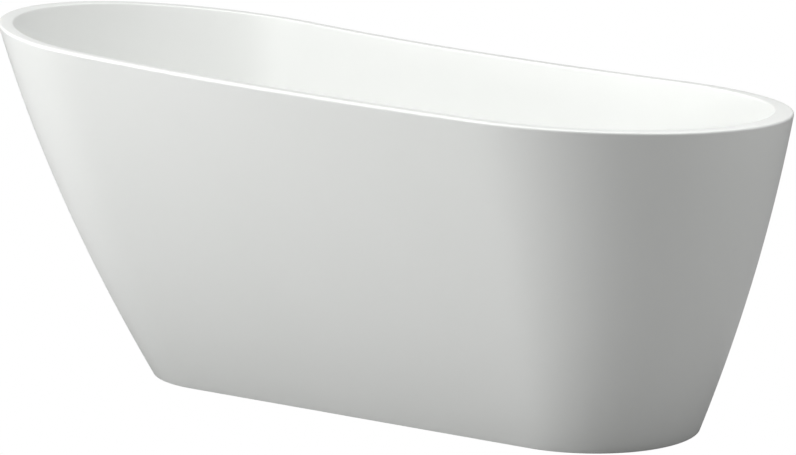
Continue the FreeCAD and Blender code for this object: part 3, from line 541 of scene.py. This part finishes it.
def ring(place, height, radii):
    """Points at a height of a frame, one for each radius, evenly spaced round its Z axis."""
    return [place @ Vector((radius * math.cos(angle), radius * math.sin(angle), height))
            for radius, angle in zip(radii, full_turn(len(radii)))]


def millimetres(*corners):
    """A section's (radius, height) corners, given in millimetres."""
    return [(radius / 1000, height / 1000) for radius, height in corners]


def softened(corners, radius, closed):
    """A section with its corners rounded, except where it meets the axis."""
    points = []
    count = len(corners)
    for index, corner in enumerate(corners):
        before, after = corners[index - 1], corners[(index + 1) % count]
        at_end = not closed and index in (0, count - 1)
        here, back, on = (Vector((*point, 0.0)) for point in (corner, before, after))
        shorter = min((back - here).length, (on - here).length)
        opening = math.pi if at_end or shorter < TINY else (back - here).angle(on - here)
        if opening > NEARLY_STRAIGHT:
            points.append(here)
            continue
        room = ROUND_SHARE * shorter * math.tan(opening / 2)
        points += rounded_corner(here, back - here, on - here, min(radius, room), EDGE_STEPS)
    return [(point.x, point.y) for point in points]


def lathe(name, corners, place, soft=0.0005, segments=TURN_STEPS):
    """A turned piece from (radius, height) corners; one that starts off the axis is a ring."""
    closed = corners[0][0] > TINY
    rows = [ring(place, height, [radius] * segments)
            for radius, height in softened(corners, soft, closed)]
    return skin(name, rows, closed=closed)


def hexagon(name, flat_half, bore, low, high, place, segments=72):
    """A nut or spanner collar with its corners chamfered top and bottom."""
    outline = [flat_half / math.cos(angle % (math.pi / 3) - math.pi / 6)
               for angle in full_turn(segments)]
    corner, face = flat_half / math.cos(math.pi / 6), flat_half * HEX_FACE
    chamfer = (corner - flat_half) * HEX_CHAMFER
    rows = [ring(place, height, [min(radius, cap) for radius in outline])
            for height, cap in ((low, face), (low + chamfer, corner),
                                (high - chamfer, corner), (high, face))]
    rows += [ring(place, height, [bore] * segments) for height in (high, low)]
    return skin(name, rows, closed=True)


def thread(name, radius, depth, pitch, low, high, place, segments=24, per_turn=6):
    """A threaded rod: its radius follows a helix, and fades out at both ends."""
    count = round((high - low) / pitch * per_turn)
    rows = [ring(place, low, [0.0] * segments)]
    for step in range(count + 1):
        height = low + (high - low) * step / count
        fade = min(1.0, step / per_turn, (count - step) / per_turn)
        radii = []
        for turn in range(segments):
            phase = (height / pitch - turn / segments) % 1.0
            groove = depth * abs(2 * phase - 1) * fade + depth * RUNOUT * (1 - fade)
            radii.append(radius - groove)
        rows.append(ring(place, height, radii))
    rows.append(ring(place, high, [0.0] * segments))
    return skin(name, rows)


def join(first, *others):
    """Adds other pieces' meshes to the first one."""
    shape = bmesh.new()
    for piece in (first, *others):
        shape.from_mesh(piece.data)
    shape.to_mesh(first.data)
    shape.free()
    for piece in others:
        discard(piece)
    return first


def sideways(place, height):
    """A frame whose Z runs along the given frame's X axis, through a point on its Z axis."""
    return place @ Matrix.Translation((0.0, 0.0, height)) @ Matrix.Rotation(math.pi / 2, 4, "Y")


def half_step(place):
    """The frame turned by half a segment, so that crossing bores share no edges."""
    return place @ Matrix.Rotation(math.pi / TURN_STEPS, 4, "Z")


def rounded_section(half_width, half_height, radius, place=ORIGIN, level=0.0):
    """Points round a rectangle with rounded corners, at a level of a frame."""
    points = []
    for across, up in ((1, 1), (-1, 1), (-1, -1), (1, -1)):
        corner = Vector((across * half_width, up * half_height, level))
        sides = [Vector((0.0, -up, 0.0)), Vector((-across, 0.0, 0.0))]
        if across * up < 0:
            sides.reverse()
        points += rounded_corner(corner, *sides, radius, EDGE_STEPS)
    return [place @ point for point in points]


def capped(name, rows):
    """A solid through rings of points with a flat face over each end."""
    piece = skin(name, rows)
    shape = bmesh.new()
    shape.from_mesh(piece.data)
    bmesh.ops.holes_fill(shape, edges=[edge for edge in shape.edges if edge.is_boundary], sides=0)
    bmesh.ops.recalc_face_normals(shape, faces=shape.faces)
    shape.to_mesh(piece.data)
    shape.free()
    return piece


def soft_bar(name, half_width, half_height, radius, low, high, place, soft=EASE):
    """A solid bar along the frame's Z axis with its long edges and its ends eased."""
    levels = ((low, soft), (low + soft, 0.0), (high - soft, 0.0), (high, soft))
    return capped(name, [
        rounded_section(half_width - inset, half_height - inset, radius, place, level)
        for level, inset in levels])


def swept(name, path, segments=48):
    """A skin of rings along a path in the middle plane: each stop is a point, a direction
    and a radius, and the last ring joins the first."""
    across = Vector((0.0, 1.0, 0.0))
    rows = []
    for place, direction, radius in path:
        normal = direction.cross(across).normalized()
        rows.append([place + radius * (math.cos(angle) * normal + math.sin(angle) * across)
                     for angle in full_turn(segments)])
    return skin(name, rows, closed=True)


def copy_at(piece, name, offset):
    """A copy of a piece's mesh, moved."""
    mesh = piece.data.copy()
    mesh.name = name
    mesh.transform(Matrix.Translation(offset))
    return new_object(name, mesh)


def repeated(name, piece, places):
    """One piece made of copies of another at several places."""
    shape = bmesh.new()
    for place in places:
        mesh = piece.data.copy()
        mesh.transform(Matrix.Translation(place))
        shape.from_mesh(mesh)
        bpy.data.meshes.remove(mesh)
    discard(piece)
    return built(name, shape)


# ---- steel frame ----

RAIL_LOW = 0.094
TUBE_SIZE = 0.025
TUBE_WALL = 0.002
TUBE_CORNER, TUBE_INNER_CORNER = 0.003, 0.0015
RAIL_MIDDLE = RAIL_LOW + TUBE_SIZE / 2
RAIL_OFFSET = 0.1225   # from the tub's middle plane to the middle of a rail
RAIL_HEAD, RAIL_FOOT = -0.440, 0.550
CROSS_PLACES = {"head": -0.400, "mid_head": -0.120, "mid_foot": 0.200, "foot": 0.5375}
SCREW_PLACES = (-0.300, -0.060, 0.160, 0.420)
FOOT_PLACES = (-0.360, 0.080, 0.500)
SIDES = (("near", -1), ("far", 1))

SCREW_RADIUS = 0.0025
SCREW_THREAD, SCREW_PITCH = 0.0005, 0.0018
SCREW_TIP = 0.129
SCREW_LOW = RAIL_LOW - 0.0035
SCREW_HEAD = [(0.0, SCREW_LOW), (0.0030, SCREW_LOW + 0.0001), (0.0048, SCREW_LOW + 0.0009),
              (0.0055, SCREW_LOW + 0.0024), (0.0055, RAIL_LOW), (0.0, RAIL_LOW)]
RECESS = (0.0028, 0.0005, 0.0002)    # half length, half width, edge radius
RECESS_DEPTH = 0.0018
STUD_HOLE = 0.007
DRILL_PAST = 0.001     # how far a drill starts clear of a tube or a screw's head
BEAD_SIZE, BEAD_RIPPLE = 0.0022, 0.0003
BEAD_STEP = 0.0005     # spacing of a weld bead's rings
BEAD_TURN = 1.3        # radians of ripple from one ring to the next
BEAD_SEGMENTS = 8


def square_tube(name, low, high, place, cuts=()):
    """A rolled square tube along the frame's Z axis, drilled by the given helpers."""
    half, bore = TUBE_SIZE / 2, TUBE_SIZE / 2 - TUBE_WALL
    rows = [rounded_section(half_size, half_size, radius, place, level)
            for half_size, radius, level in (
                (half - EASE, TUBE_CORNER, low), (half, TUBE_CORNER, low + EASE),
                (half, TUBE_CORNER, high - EASE), (half - EASE, TUBE_CORNER, high),
                (bore, TUBE_INNER_CORNER, high), (bore, TUBE_INNER_CORNER, low))]
    tube = skin(name, rows, closed=True)
    for cutter in cuts:
        apply_boolean(tube, cutter, "DIFFERENCE")
    return tube


def make_rails():
    """Two tubes, drilled right through for the screws and from below for the studs."""
    drillings = [(place, SCREW_RADIUS, RAIL_LOW + TUBE_SIZE + DRILL_PAST, 32)
                 for place in SCREW_PLACES]
    drillings += [(place, STUD_HOLE, RAIL_MIDDLE, 48) for place in FOOT_PLACES]
    for side, sign in SIDES:
        middle = sign * RAIL_OFFSET
        cuts = [disc("drill", radius, RAIL_LOW - DRILL_PAST, high,
                     Matrix.Translation((place, middle, 0.0)), segments)
                for place, radius, high, segments in drillings]
        along = sideways(Matrix.Translation((0.0, middle, 0.0)), RAIL_MIDDLE)
        tube = square_tube(f"frame_rail_{side}_tube", RAIL_HEAD, RAIL_FOOT, along, cuts)
        finished(tube, "tub", "frame_paint", f"frame_rail_{side}")


def weld_bead(place, sign):
    """A rippled weld round the joint of a cross member and a rail."""
    face = sign * (RAIL_OFFSET - TUBE_SIZE / 2)
    loop = rounded_section(TUBE_SIZE / 2, TUBE_SIZE / 2, TUBE_CORNER)
    fine = []
    for point, following in zip(loop, loop[1:] + loop[:1]):
        count = max(1, round((following - point).length / BEAD_STEP))
        fine += [point.lerp(following, step / count) for step in range(count)]
    rows = []
    for index, point in enumerate(fine):
        size = BEAD_SIZE + BEAD_RIPPLE * math.sin(index * BEAD_TURN)
        out = point.normalized()
        row = []
        for angle in full_turn(BEAD_SEGMENTS):
            spread = out * size * math.cos(angle)
            row.append(Vector((place + point.x + spread.x, face - sign * size * math.sin(angle),
                               RAIL_MIDDLE + point.y + spread.y)))
        rows.append(row)
    return skin("bead", rows, closed=True)


def make_cross_members():
    """Tubes between the rails, each welded to both of them."""
    half = RAIL_OFFSET - TUBE_SIZE / 2
    for name, place in CROSS_PLACES.items():
        across = (Matrix.Translation((place, 0.0, RAIL_MIDDLE))
                  @ Matrix.Rotation(-math.pi / 2, 4, "X"))
        tube = square_tube(f"cross_member_{name}_tube", -half, half, across)
        piece = join(tube, weld_bead(place, -1), weld_bead(place, 1))
        finished(piece, "tub", "frame_paint", f"cross_member_{name}")


def make_rail_screws():
    """Pan heads with a cross recess, and threaded shanks up into the board."""
    head = lathe("head", SCREW_HEAD, ORIGIN, soft=0.0003, segments=36)
    for turn in (0.0, math.pi / 2):
        slot = soft_bar("slot", *RECESS, SCREW_LOW - DRILL_PAST, SCREW_LOW + RECESS_DEPTH,
                        Matrix.Rotation(turn, 4, "Z"), FINE_EASE)
        apply_boolean(head, slot, "DIFFERENCE")
    shank = thread("shank", SCREW_RADIUS, SCREW_THREAD, SCREW_PITCH, RAIL_LOW, SCREW_TIP,
                   ORIGIN, 16)
    places = [(place, sign * RAIL_OFFSET, 0.0) for place in SCREW_PLACES for _, sign in SIDES]
    screws = repeated("rail_screw_set", join(head, shank), places)
    finished(screws, "tub", "zinc_steel", "rail_screws")


# ---- levelling feet ----

HEX_FLAT = math.cos(math.pi / 6)    # from a hexagon's corner radius to its flats
NUT_BORE = 0.00605
LOCK_NUT_LOW, LOCK_NUT_HIGH = 0.077, 0.084
NUTS = (("weld_nuts", 0.0109, LOCK_NUT_HIGH, RAIL_LOW),
        ("lock_nuts", 0.0104, LOCK_NUT_LOW, LOCK_NUT_HIGH))
BALL_HEIGHT = 0.009
STUD_BALL, PAD_SOCKET = 0.005, 0.0053
NECK_RADIUS, NECK_LOW, NECK_HIGH = 0.003, 0.0135, 0.0165
COLLAR_CORNER, COLLAR_BORE, COLLAR_LOW, COLLAR_HIGH = 0.0098, 0.002, 0.016, 0.024
STUD_RADIUS, STUD_THREAD, STUD_PITCH = 0.006, 0.0006, 0.00175
STUD_LOW, STUD_TOP = 0.0235, 0.108
PAD_OUTSIDE = millimetres(
    (8.7, 13), (8.7, 9.4), (15, 7.4), (24.2, 4.4), (25, 3.6), (25, 2.6), (24.4, 2.3), (25, 2),
    (25, 0.6), (24.4, 0), (20, 0), (19.5, 0.8), (16.5, 0.8), (16, 0), (11, 0), (10.5, 0.8),
    (0, 0.8))


def foot_places():
    """Each foot's number and place, from the head end, near side first."""
    places = [(place, sign * RAIL_OFFSET, 0.0) for place in FOOT_PLACES for _, sign in SIDES]
    return list(enumerate(places, start=1))


def ball_section(radius, top, step):
    """A ball's outline from its lowest point up to below an angle, all in whole degrees."""
    angles = [math.radians(angle) for angle in range(-90, top, step)]
    return [(radius * math.cos(angle), BALL_HEIGHT + radius * math.sin(angle))
            for angle in angles]


def make_nuts():
    """A nut welded under the rail and a lock nut below it, at every foot."""
    places = [place for _, place in foot_places()]
    for node, corner, low, high in NUTS:
        nut = hexagon("nut", corner * HEX_FLAT, NUT_BORE, low, high, ORIGIN)
        finished(repeated(f"{node}_set", nut, places), "tub", "zinc_steel", node)


def make_foot_pads():
    """Moulded rubber pads with a stepped top and a grooved rim."""
    hollow = ball_section(PAD_SOCKET, 49, 6)
    top = (hollow[-1][0], PAD_OUTSIDE[0][1])
    pad = lathe("pad", [*hollow, top, *PAD_OUTSIDE], ORIGIN, soft=0.0003, segments=72)
    for index, place in foot_places():
        piece = copy_at(pad, f"foot_pad_{index}_moulding", place)
        finished(piece, f"foot_{index}_pad", "pad_rubber", f"foot_pad_{index}")
    discard(pad)


def make_foot_studs():
    """Ball, neck, spanner collar and rolled thread."""
    tip = ball_section(STUD_BALL, 51, 7)
    neck = lathe("neck", [(0.0, tip[0][1]), *tip[1:], (NECK_RADIUS, NECK_LOW),
                          (NECK_RADIUS, NECK_HIGH), (0.0, NECK_HIGH)], ORIGIN, FINE_EASE, 36)
    collar = hexagon("collar", COLLAR_CORNER * HEX_FLAT, COLLAR_BORE, COLLAR_LOW, COLLAR_HIGH,
                     ORIGIN)
    shaft = thread("shaft", STUD_RADIUS, STUD_THREAD, STUD_PITCH, STUD_LOW, STUD_TOP, ORIGIN,
                   24, 8)
    stud = join(neck, collar, shaft)
    for index, place in foot_places():
        piece = copy_at(stud, f"foot_stud_{index}_threaded", place)
        finished(piece, f"foot_{index}_stud", "zinc_steel", f"foot_stud_{index}")
    discard(stud)


# ---- pipes and sockets ----

PIPE_RADIUS, PIPE_BORE = 0.016, 0.014
NECK = 0.0172          # radius of a branch before its socket
SOCKET_RADIUS, SOCKET_DEPTH = 0.0185, 0.020
SOCKET_STEP = 0.0015   # length of the taper from a branch's neck to its socket
BORE_PAST = 0.002      # how far a bore's cutter runs out of its mouth
BRANCH_HEIGHT = 0.072
TEE_NECK, TEE_REACH = 0.040, 0.064
ELBOW_NECK, ELBOW_REACH = 0.035, 0.058


def branch(name, neck, reach, place):
    """A solid branch along the frame's Z axis, with the outside of a socket at its end."""
    return lathe(name, [(0.0, 0.0), (NECK, 0.0), (NECK, neck), (SOCKET_RADIUS, neck + SOCKET_STEP),
                        (SOCKET_RADIUS, reach), (0.0, reach)], place)


def branch_bore(reach, place):
    """The helper that cuts a branch's bore and its socket."""
    stop, past = reach - SOCKET_DEPTH, reach + BORE_PAST
    return lathe("bore", [(0.0, 0.0), (PIPE_BORE, 0.0), (PIPE_BORE, stop), (PIPE_RADIUS, stop),
                          (PIPE_RADIUS, past), (0.0, past)], half_step(place), FINE_EASE)


# ---- waste ----

# Sections of the turned pieces: (radius, height above the floor) corners, in order round them.
FLANGE = millimetres(
    (20, 100), (23.5, 100), (23.5, 138.5), (36, 138.5), (36, 139.3), (34, 141.3), (33, 141.5),
    (27.5, 141.5), (26.2, 141.1), (20, 137))
HUB = millimetres((5, 108), (8, 108), (8, 116), (5, 116))
TEE = millimetres(
    (0, 36), (24, 36), (24, 50), (23.2, 50.8), (24, 51.6), (24, 93), (30, 97), (30, 124),
    (36, 124), (36, 128), (0, 128))
TEE_CORE = millimetres(
    (0, 35), (19, 35), (19, 56), (17.5, 56), (17.5, 97), (23.5, 99.5), (23.5, 129), (0, 129))
TAIL = millimetres((17.5, 6), (20, 6), (20, 27), (19, 27), (19, 56), (17.5, 56))
SLIP_NUT = millimetres(
    (19.2, 30), (28, 30), (28, 36), (28, 42), (28, 48), (24, 48), (24, 34), (19.2, 34))
CAP = millimetres(
    (0, 142), (30.8, 142), (31, 143), (30.4, 143.8), (27.5, 145), (23, 146), (18, 146.7),
    (12, 147.2), (6, 147.45), (0, 147.5))
SEAL = millimetres((12, 138.5), (21.7, 138.5), (24, 140), (26.2, 141.5), (26.2, 142), (12, 142))
SLEEVE = millimetres(
    (0, 137.5), (5.05, 137.5), (5.05, 118), (8.4, 118), (9, 118.6), (9, 124), (8.6, 124.4),
    (8.6, 125.6), (9, 126), (9, 142), (0, 142))
POST = millimetres(
    (0, 104), (4.6, 104), (5, 104.5), (5, 116.5), (4.8, 117), (4.8, 118), (5, 118.5), (5, 135),
    (4, 136), (0, 136))
ARM = (0.0025, 0.003, 0.0008)               # half depth, half width, edge radius
ARM_INNER, ARM_OUTER, ARM_HEIGHT = 0.0070, 0.0208, 0.1115
FLUTES, FLUTE_DEPTH, FLUTE_FROM = 20, 0.0016, 0.0262
FLUTE_LOW, FLUTE_HIGH = 0.0301, 0.0479


def make_drain_flange():
    """The polished flange, with the cross bar and hub that carry the stopper's post."""
    flange = lathe("drain_flange_ring", FLANGE, DRAIN, soft=EASE, segments=128)
    arms = [soft_bar("arm", *ARM, low, high, sideways(DRAIN, ARM_HEIGHT))
            for low, high in ((-ARM_OUTER, -ARM_INNER), (ARM_INNER, ARM_OUTER))]
    joined = join(flange, lathe("hub", HUB, DRAIN), *arms)
    finished(joined, "tub", "chrome_trim", "drain_flange")


def make_tee():
    """The body under the drain, with a branch for the overflow."""
    tee = lathe("waste_tee_moulding", TEE, DRAIN)
    side = sideways(DRAIN, BRANCH_HEIGHT)
    apply_boolean(tee, branch("arm", TEE_NECK, TEE_REACH, side), "UNION")
    core = lathe("core", TEE_CORE, DRAIN, FINE_EASE)
    apply_boolean(core, branch_bore(TEE_REACH, side), "UNION")
    apply_boolean(tee, core, "DIFFERENCE")
    finished(tee, "tub", "grey_pvc", "waste_tee")


def flute(piece):
    """Presses finger grooves into the outside of a nut round the drain."""
    for vertex in piece.data.vertices:
        spoke = Vector((vertex.co.x - DRAIN_X, vertex.co.y, 0.0))
        if spoke.length < FLUTE_FROM or not FLUTE_LOW < vertex.co.z < FLUTE_HIGH:
            continue
        wave = math.cos(FLUTES * math.atan2(spoke.y, spoke.x))
        vertex.co -= spoke.normalized() * FLUTE_DEPTH * max(0.0, wave) ** 2


def make_tail():
    """The tailpiece that enters the floor waste, and the nut that holds it in the tee."""
    tail = lathe("tailpiece_tube", TAIL, DRAIN)
    finished(tail, "tub", "white_pvc", "tailpiece")
    nut = lathe("slip_nut_moulding", SLIP_NUT, DRAIN, soft=0.0008, segments=240)
    flute(nut)
    finished(nut, "tub", "white_pvc", "slip_nut")


def make_stopper():
    """The polished cap that lifts, its seal, and the sleeve that slides on the post."""
    for node, kind, section, soft, segments, body, slot in (
            ("stopper_cap", "turning", CAP, 0.0003, 128, "stopper", "chrome_trim"),
            ("stopper_seal", "ring", SEAL, 0.0002, TURN_STEPS, "stopper", "seal_rubber"),
            ("stopper_sleeve", "turning", SLEEVE, 0.0002, 64, "stopper", "brass"),
            ("stopper_post", "turning", POST, 0.0001, 48, "tub", "brass")):
        finished(lathe(f"{node}_{kind}", section, DRAIN, soft, segments), body, slot, node)


# ---- overflow ----

# Sections in the overflow's own frame: (radius, distance out through the foot wall) corners.
COVER = millimetres(
    (0, -12), (31.8, -12), (34, -11.4), (35.4, -10.4), (36, -9), (36, -2), (33.5, -2), (33.5, -9),
    (31.5, -9), (31.5, -1), (30, -1), (30, -9), (0, -9))
ELBOW = millimetres(
    (0, -5), (21, -5), (21, 10.5), (35, 10.5), (35, 13.5), (24, 13.5), (24, 45), (22.5, 47.8),
    (20, 49), (0, 49))
RING_NUT = millimetres((21, -4), (29, -4), (30, -3), (30, 0), (21, 0))
ELBOW_DEPTH = 0.0295   # from the wall's inside to the middle of the pipe behind it
CHAMBER_RADIUS, CHAMBER_LOW, CHAMBER_HIGH = 0.018, -0.006, 0.045
SLOT = (0.00325, 0.004, 0.0012, 0.026, 0.038)        # half depth and width, edge radius, ends
SLOT_PITCH, SLOT_HEIGHT = 0.012, -0.00525
NOTCH = (0.0015, 0.002, 0.0004, 0.0265, 0.0315)      # the same
NOTCH_HEIGHT = -0.0035
BEND_RADIUS = 0.030
BEND_STEPS = 24
BEND_GAP = 0.002       # from the end of a pipe to the end of the bend's arc
BEND_EASE = 0.0006
COLLAR_STEP = 0.001    # how far a socket's collar stands off the arc
BEND_WALL_STEP = 0.0012


def make_overflow_cover():
    """The polished cover, with its three water slots at the lower edge."""
    cover = lathe("overflow_cover_pressing", COVER, OVERFLOW, soft=0.0003, segments=144)
    for index in (-1, 0, 1):
        place = OVERFLOW @ Matrix.Translation((0.0, SLOT_PITCH * index, 0.0))
        slot = soft_bar("slot", *SLOT, sideways(place, SLOT_HEIGHT), FINE_EASE)
        apply_boolean(cover, slot, "DIFFERENCE")
    finished(cover, "tub", "chrome_trim", "overflow_cover")


def make_overflow_back():
    """What is clamped behind the foot wall: elbow and ring nut."""
    elbow = lathe("overflow_elbow_moulding", ELBOW, OVERFLOW, soft=0.0006)
    down = sideways(OVERFLOW, ELBOW_DEPTH)
    apply_boolean(elbow, branch("outlet", ELBOW_NECK, ELBOW_REACH, down), "UNION")
    chamber = disc("chamber", CHAMBER_RADIUS, CHAMBER_LOW, CHAMBER_HIGH, OVERFLOW)
    apply_boolean(chamber, branch_bore(ELBOW_REACH, down), "UNION")
    apply_boolean(elbow, chamber, "DIFFERENCE")
    finished(elbow, "tub", "grey_pvc", "overflow_elbow")
    nut = lathe("overflow_ring_nut_turning", RING_NUT, OVERFLOW)
    for quarter in range(4):
        place = OVERFLOW @ Matrix.Rotation(math.pi / 4 + quarter * math.pi / 2, 4, "Z")
        notch = soft_bar("notch", *NOTCH, sideways(place, NOTCH_HEIGHT), FINE_EASE)
        apply_boolean(nut, notch, "DIFFERENCE")
    finished(nut, "tub", "brass", "overflow_ring_nut")


def pipe(name, start, direction, length):
    """A plain pipe with eased ends."""
    end = start + direction * length
    return swept(name, [(start, direction, PIPE_RADIUS - EASE),
                        (start + direction * EASE, direction, PIPE_RADIUS),
                        (end - direction * EASE, direction, PIPE_RADIUS),
                        (end, direction, PIPE_RADIUS - EASE),
                        (end, direction, PIPE_BORE), (start, direction, PIPE_BORE)])


def make_overflow_pipes():
    """The sloping pipe, the lower bend and the level pipe to the tee."""
    top = OVERFLOW @ Vector((0.0, 0.0, ELBOW_DEPTH))
    down = OVERFLOW.to_3x3() @ Vector((1.0, 0.0, 0.0))
    level = Vector((1.0, 0.0, 0.0))
    corner = top + down * ((top.z - BRANCH_HEIGHT) / -down.z)
    turn = down.angle(-level)
    setback = BEND_RADIUS * math.tan(turn / 2)
    pipe_end = setback + BEND_GAP

    start = OVERFLOW @ Vector((ELBOW_REACH - SOCKET_DEPTH, 0.0, ELBOW_DEPTH))
    sloping = pipe("overflow_pipe_tube", start, down, (corner - start).length - pipe_end)
    finished(sloping, "tub", "white_pvc", "overflow_pipe")
    mouth = Vector((DRAIN_X + TEE_REACH - SOCKET_DEPTH, 0.0, BRANCH_HEIGHT))
    crossover = pipe("crossover_pipe_tube", mouth, level, corner.x - pipe_end - mouth.x)
    finished(crossover, "tub", "white_pvc", "crossover_pipe")

    first, last = corner - level * setback, corner - down * setback
    centre = first + Vector((0.0, 0.0, BEND_RADIUS))
    arc = []
    for step in range(BEND_STEPS + 1):
        angle = turn * step / BEND_STEPS
        spoke = Vector((math.sin(angle), 0.0, -math.cos(angle)))
        arc.append((centre + spoke * BEND_RADIUS,
                    Vector((math.cos(angle), 0.0, math.sin(angle)))))
    reach = SOCKET_DEPTH + BEND_GAP
    collar = ((reach, SOCKET_RADIUS - BEND_EASE), (reach - BEND_EASE, SOCKET_RADIUS),
              (COLLAR_STEP, SOCKET_RADIUS))
    socket = ((reach, PIPE_RADIUS), (BEND_GAP, PIPE_RADIUS), (BEND_GAP, PIPE_BORE))
    outside = [(first - level * back, level, radius) for back, radius in collar]
    outside += [(place, way, SOCKET_RADIUS - BEND_WALL_STEP) for place, way in arc]
    outside += [(last - down * back, -down, radius) for back, radius in reversed(collar)]
    inside = [(last - down * back, -down, radius) for back, radius in socket]
    inside += [(place, way, PIPE_BORE) for place, way in reversed(arc)]
    inside += [(first - level * back, level, radius) for back, radius in reversed(socket)]
    bend = swept("overflow_bend_moulding", outside + inside)
    finished(bend, "tub", "grey_pvc", "overflow_bend")


# ---- studio ----

TUB_MIDDLE = Vector((0.0, 0.0, 0.33))
CAMERA_AZIMUTH = 35.19
CAMERA_ELEVATION = 9.874
CAMERA_DISTANCE = 4.5766
CAMERA_AIM = Vector((0.0538, 0.0, 0.3306))
SENSOR = 36.0
LENS = 105.23
CLIP_END = 200.0
FLOOR_REACH = 40.0
FLOOR_COLOUR = (0.45, 0.45, 0.45, 1.0)
WORLD_STRENGTH = 0.286
WHITE = (1.0, 1.0, 1.0, 1.0)

# Softboxes aimed at the tub: name, azimuth, elevation, distance, width, height, power.
SOFTBOXES = (
    ("overhead", 0, 88, 3.0, 2.4, 1.6, 41.5),
    ("overhead_left", -90, 60, 4.5, 2.0, 2.0, 43),
    ("key_low", -40, 10, 4.5, 1.5, 2.0, 36.5),
    ("key_high", -40, 45, 4.5, 1.5, 2.0, 20),
    ("key_front", -20, 35, 4.5, 1.5, 2.0, 17),
    ("strip_high", -20, 50, 2.0, 4.0, 0.5, 2),
    ("strip_front", -30, 30, 2.2, 3.0, 0.5, 4.4),
    ("fill_foot", 125, 15, 4.5, 2.0, 2.0, 4.2),
    ("fill_back", 180, 50, 4.5, 2.0, 2.0, 21))
STRIP_AIM = Vector((0.0, 0.0, 0.75))
STRIP_AZIMUTH, STRIP_DISTANCE = -50, 3.0
STRIP_WIDTH, STRIP_HEIGHT, STRIP_POWER, STRIP_SPREAD = 4.0, 0.5, 6.1, 45
RIM_LIGHT_PLACE, RIM_LIGHT_AIM = Vector((1.4, 0.0, 1.5)), Vector((1.4, 0.0, 0.0))
RIM_LIGHT_SIZE, RIM_LIGHT_POWER = 0.7, 6.6


def seen_from(azimuth, elevation, distance, centre):
    """A point round the tub: azimuth 0 is in front of it, 90 is beyond its foot."""
    turn, rise = math.radians(azimuth), math.radians(elevation)
    away = Vector((math.sin(turn) * math.cos(rise), -math.cos(turn) * math.cos(rise),
                   math.sin(rise)))
    return centre + distance * away


def make_camera():
    data = bpy.data.cameras.new("camera")
    data.sensor_width = SENSOR
    data.lens = LENS
    data.clip_end = CLIP_END
    camera = new_object("camera", data)
    camera.location = seen_from(CAMERA_AZIMUTH, CAMERA_ELEVATION, CAMERA_DISTANCE, TUB_MIDDLE)
    camera.rotation_euler = (CAMERA_AIM - camera.location).to_track_quat("-Z", "Y").to_euler()
    bpy.context.scene.camera = camera


def white_to_camera(tree, seen, lighting):
    """Mixes a plain white for the camera with what lights the object."""
    path = tree.nodes.new("ShaderNodeLightPath")
    mix = tree.nodes.new("ShaderNodeMixShader")
    tree.links.new(path.outputs["Is Camera Ray"], mix.inputs["Fac"])
    tree.links.new(lighting, mix.inputs[1])
    tree.links.new(seen, mix.inputs[2])
    return mix.outputs["Shader"]


def make_floor():
    """The staging floor: grey where it lights the tub, and white to the camera."""
    mesh = bpy.data.meshes.new("studio_floor")
    corners = [(x * FLOOR_REACH, y * FLOOR_REACH, 0)
               for x, y in ((-1, -1), (1, -1), (1, 1), (-1, 1))]
    mesh.from_pydata(corners, [], [(0, 1, 2, 3)])
    floor = new_object("studio_floor", mesh)
    material = bpy.data.materials.new("studio_floor")
    material.use_nodes = True
    tree = material.node_tree
    shader = tree.nodes["Principled BSDF"]
    shader.inputs["Base Color"].default_value = FLOOR_COLOUR
    shader.inputs["Roughness"].default_value = 1.0
    shader.inputs["Specular IOR Level"].default_value = 0.0
    white = tree.nodes.new("ShaderNodeEmission")
    white.inputs["Strength"].default_value = 1.0
    mixed = white_to_camera(tree, white.outputs["Emission"], shader.outputs["BSDF"])
    tree.links.new(mixed, tree.nodes["Material Output"].inputs["Surface"])
    mesh.materials.append(material)


def make_world():
    """Even light from all round, and plain white to the camera."""
    world = bpy.data.worlds.new("studio")
    bpy.context.scene.world = world
    world.use_nodes = True
    tree = world.node_tree
    fill = tree.nodes["Background"]
    fill.inputs["Color"].default_value = WHITE
    fill.inputs["Strength"].default_value = WORLD_STRENGTH
    white = tree.nodes.new("ShaderNodeBackground")
    white.inputs["Color"].default_value = WHITE
    mixed = white_to_camera(tree, white.outputs["Background"], fill.outputs["Background"])
    tree.links.new(mixed, tree.nodes["World Output"].inputs["Surface"])


def softbox(name, place, aim, width, height, power, spread=180):
    """An area light at a place, aimed at a point; the camera doesn't see the light itself."""
    data = bpy.data.lights.new(name, "AREA")
    data.shape = "RECTANGLE"
    data.size, data.size_y = width, height
    data.energy = power
    data.spread = math.radians(spread)
    light = new_object(name, data)
    light.location = place
    light.rotation_euler = (aim - place).to_track_quat("-Z", "Y").to_euler()
    light.visible_camera = False


def make_lights():
    """Soft light from overhead and the front left, strips in front and a little fill."""
    for name, azimuth, elevation, distance, width, height, power in SOFTBOXES:
        place = seen_from(azimuth, elevation, distance, TUB_MIDDLE)
        softbox(name, place, TUB_MIDDLE, width, height, power)
    softbox("strip_gridded", seen_from(STRIP_AZIMUTH, 0, STRIP_DISTANCE, STRIP_AIM), STRIP_AIM,
            STRIP_WIDTH, STRIP_HEIGHT, STRIP_POWER, STRIP_SPREAD)
    softbox("rim_light", RIM_LIGHT_PLACE, RIM_LIGHT_AIM, RIM_LIGHT_SIZE, RIM_LIGHT_SIZE,
            RIM_LIGHT_POWER)


# ---- building ----

def dress_cad_nodes():
    """Gives every carried-over node the material of its slot."""
    slots = {part["node"]: part["material_slot"] for part in frame["record"]["subparts"]}
    for name, node in frame["nodes"].items():
        node.data.materials.clear()
        node.data.materials.append(MATERIALS[slots[name]])


def main():
    dress_cad_nodes()
    for make in (make_skirt, make_basin, make_rails, make_cross_members, make_rail_screws,
                 make_nuts, make_foot_pads, make_foot_studs, make_drain_flange, make_tee,
                 make_tail, make_stopper, make_overflow_cover, make_overflow_back,
                 make_overflow_pipes, make_floor, make_world, make_lights, make_camera):
        make()
    bpy.context.scene.view_settings.view_transform = "Standard"


main()
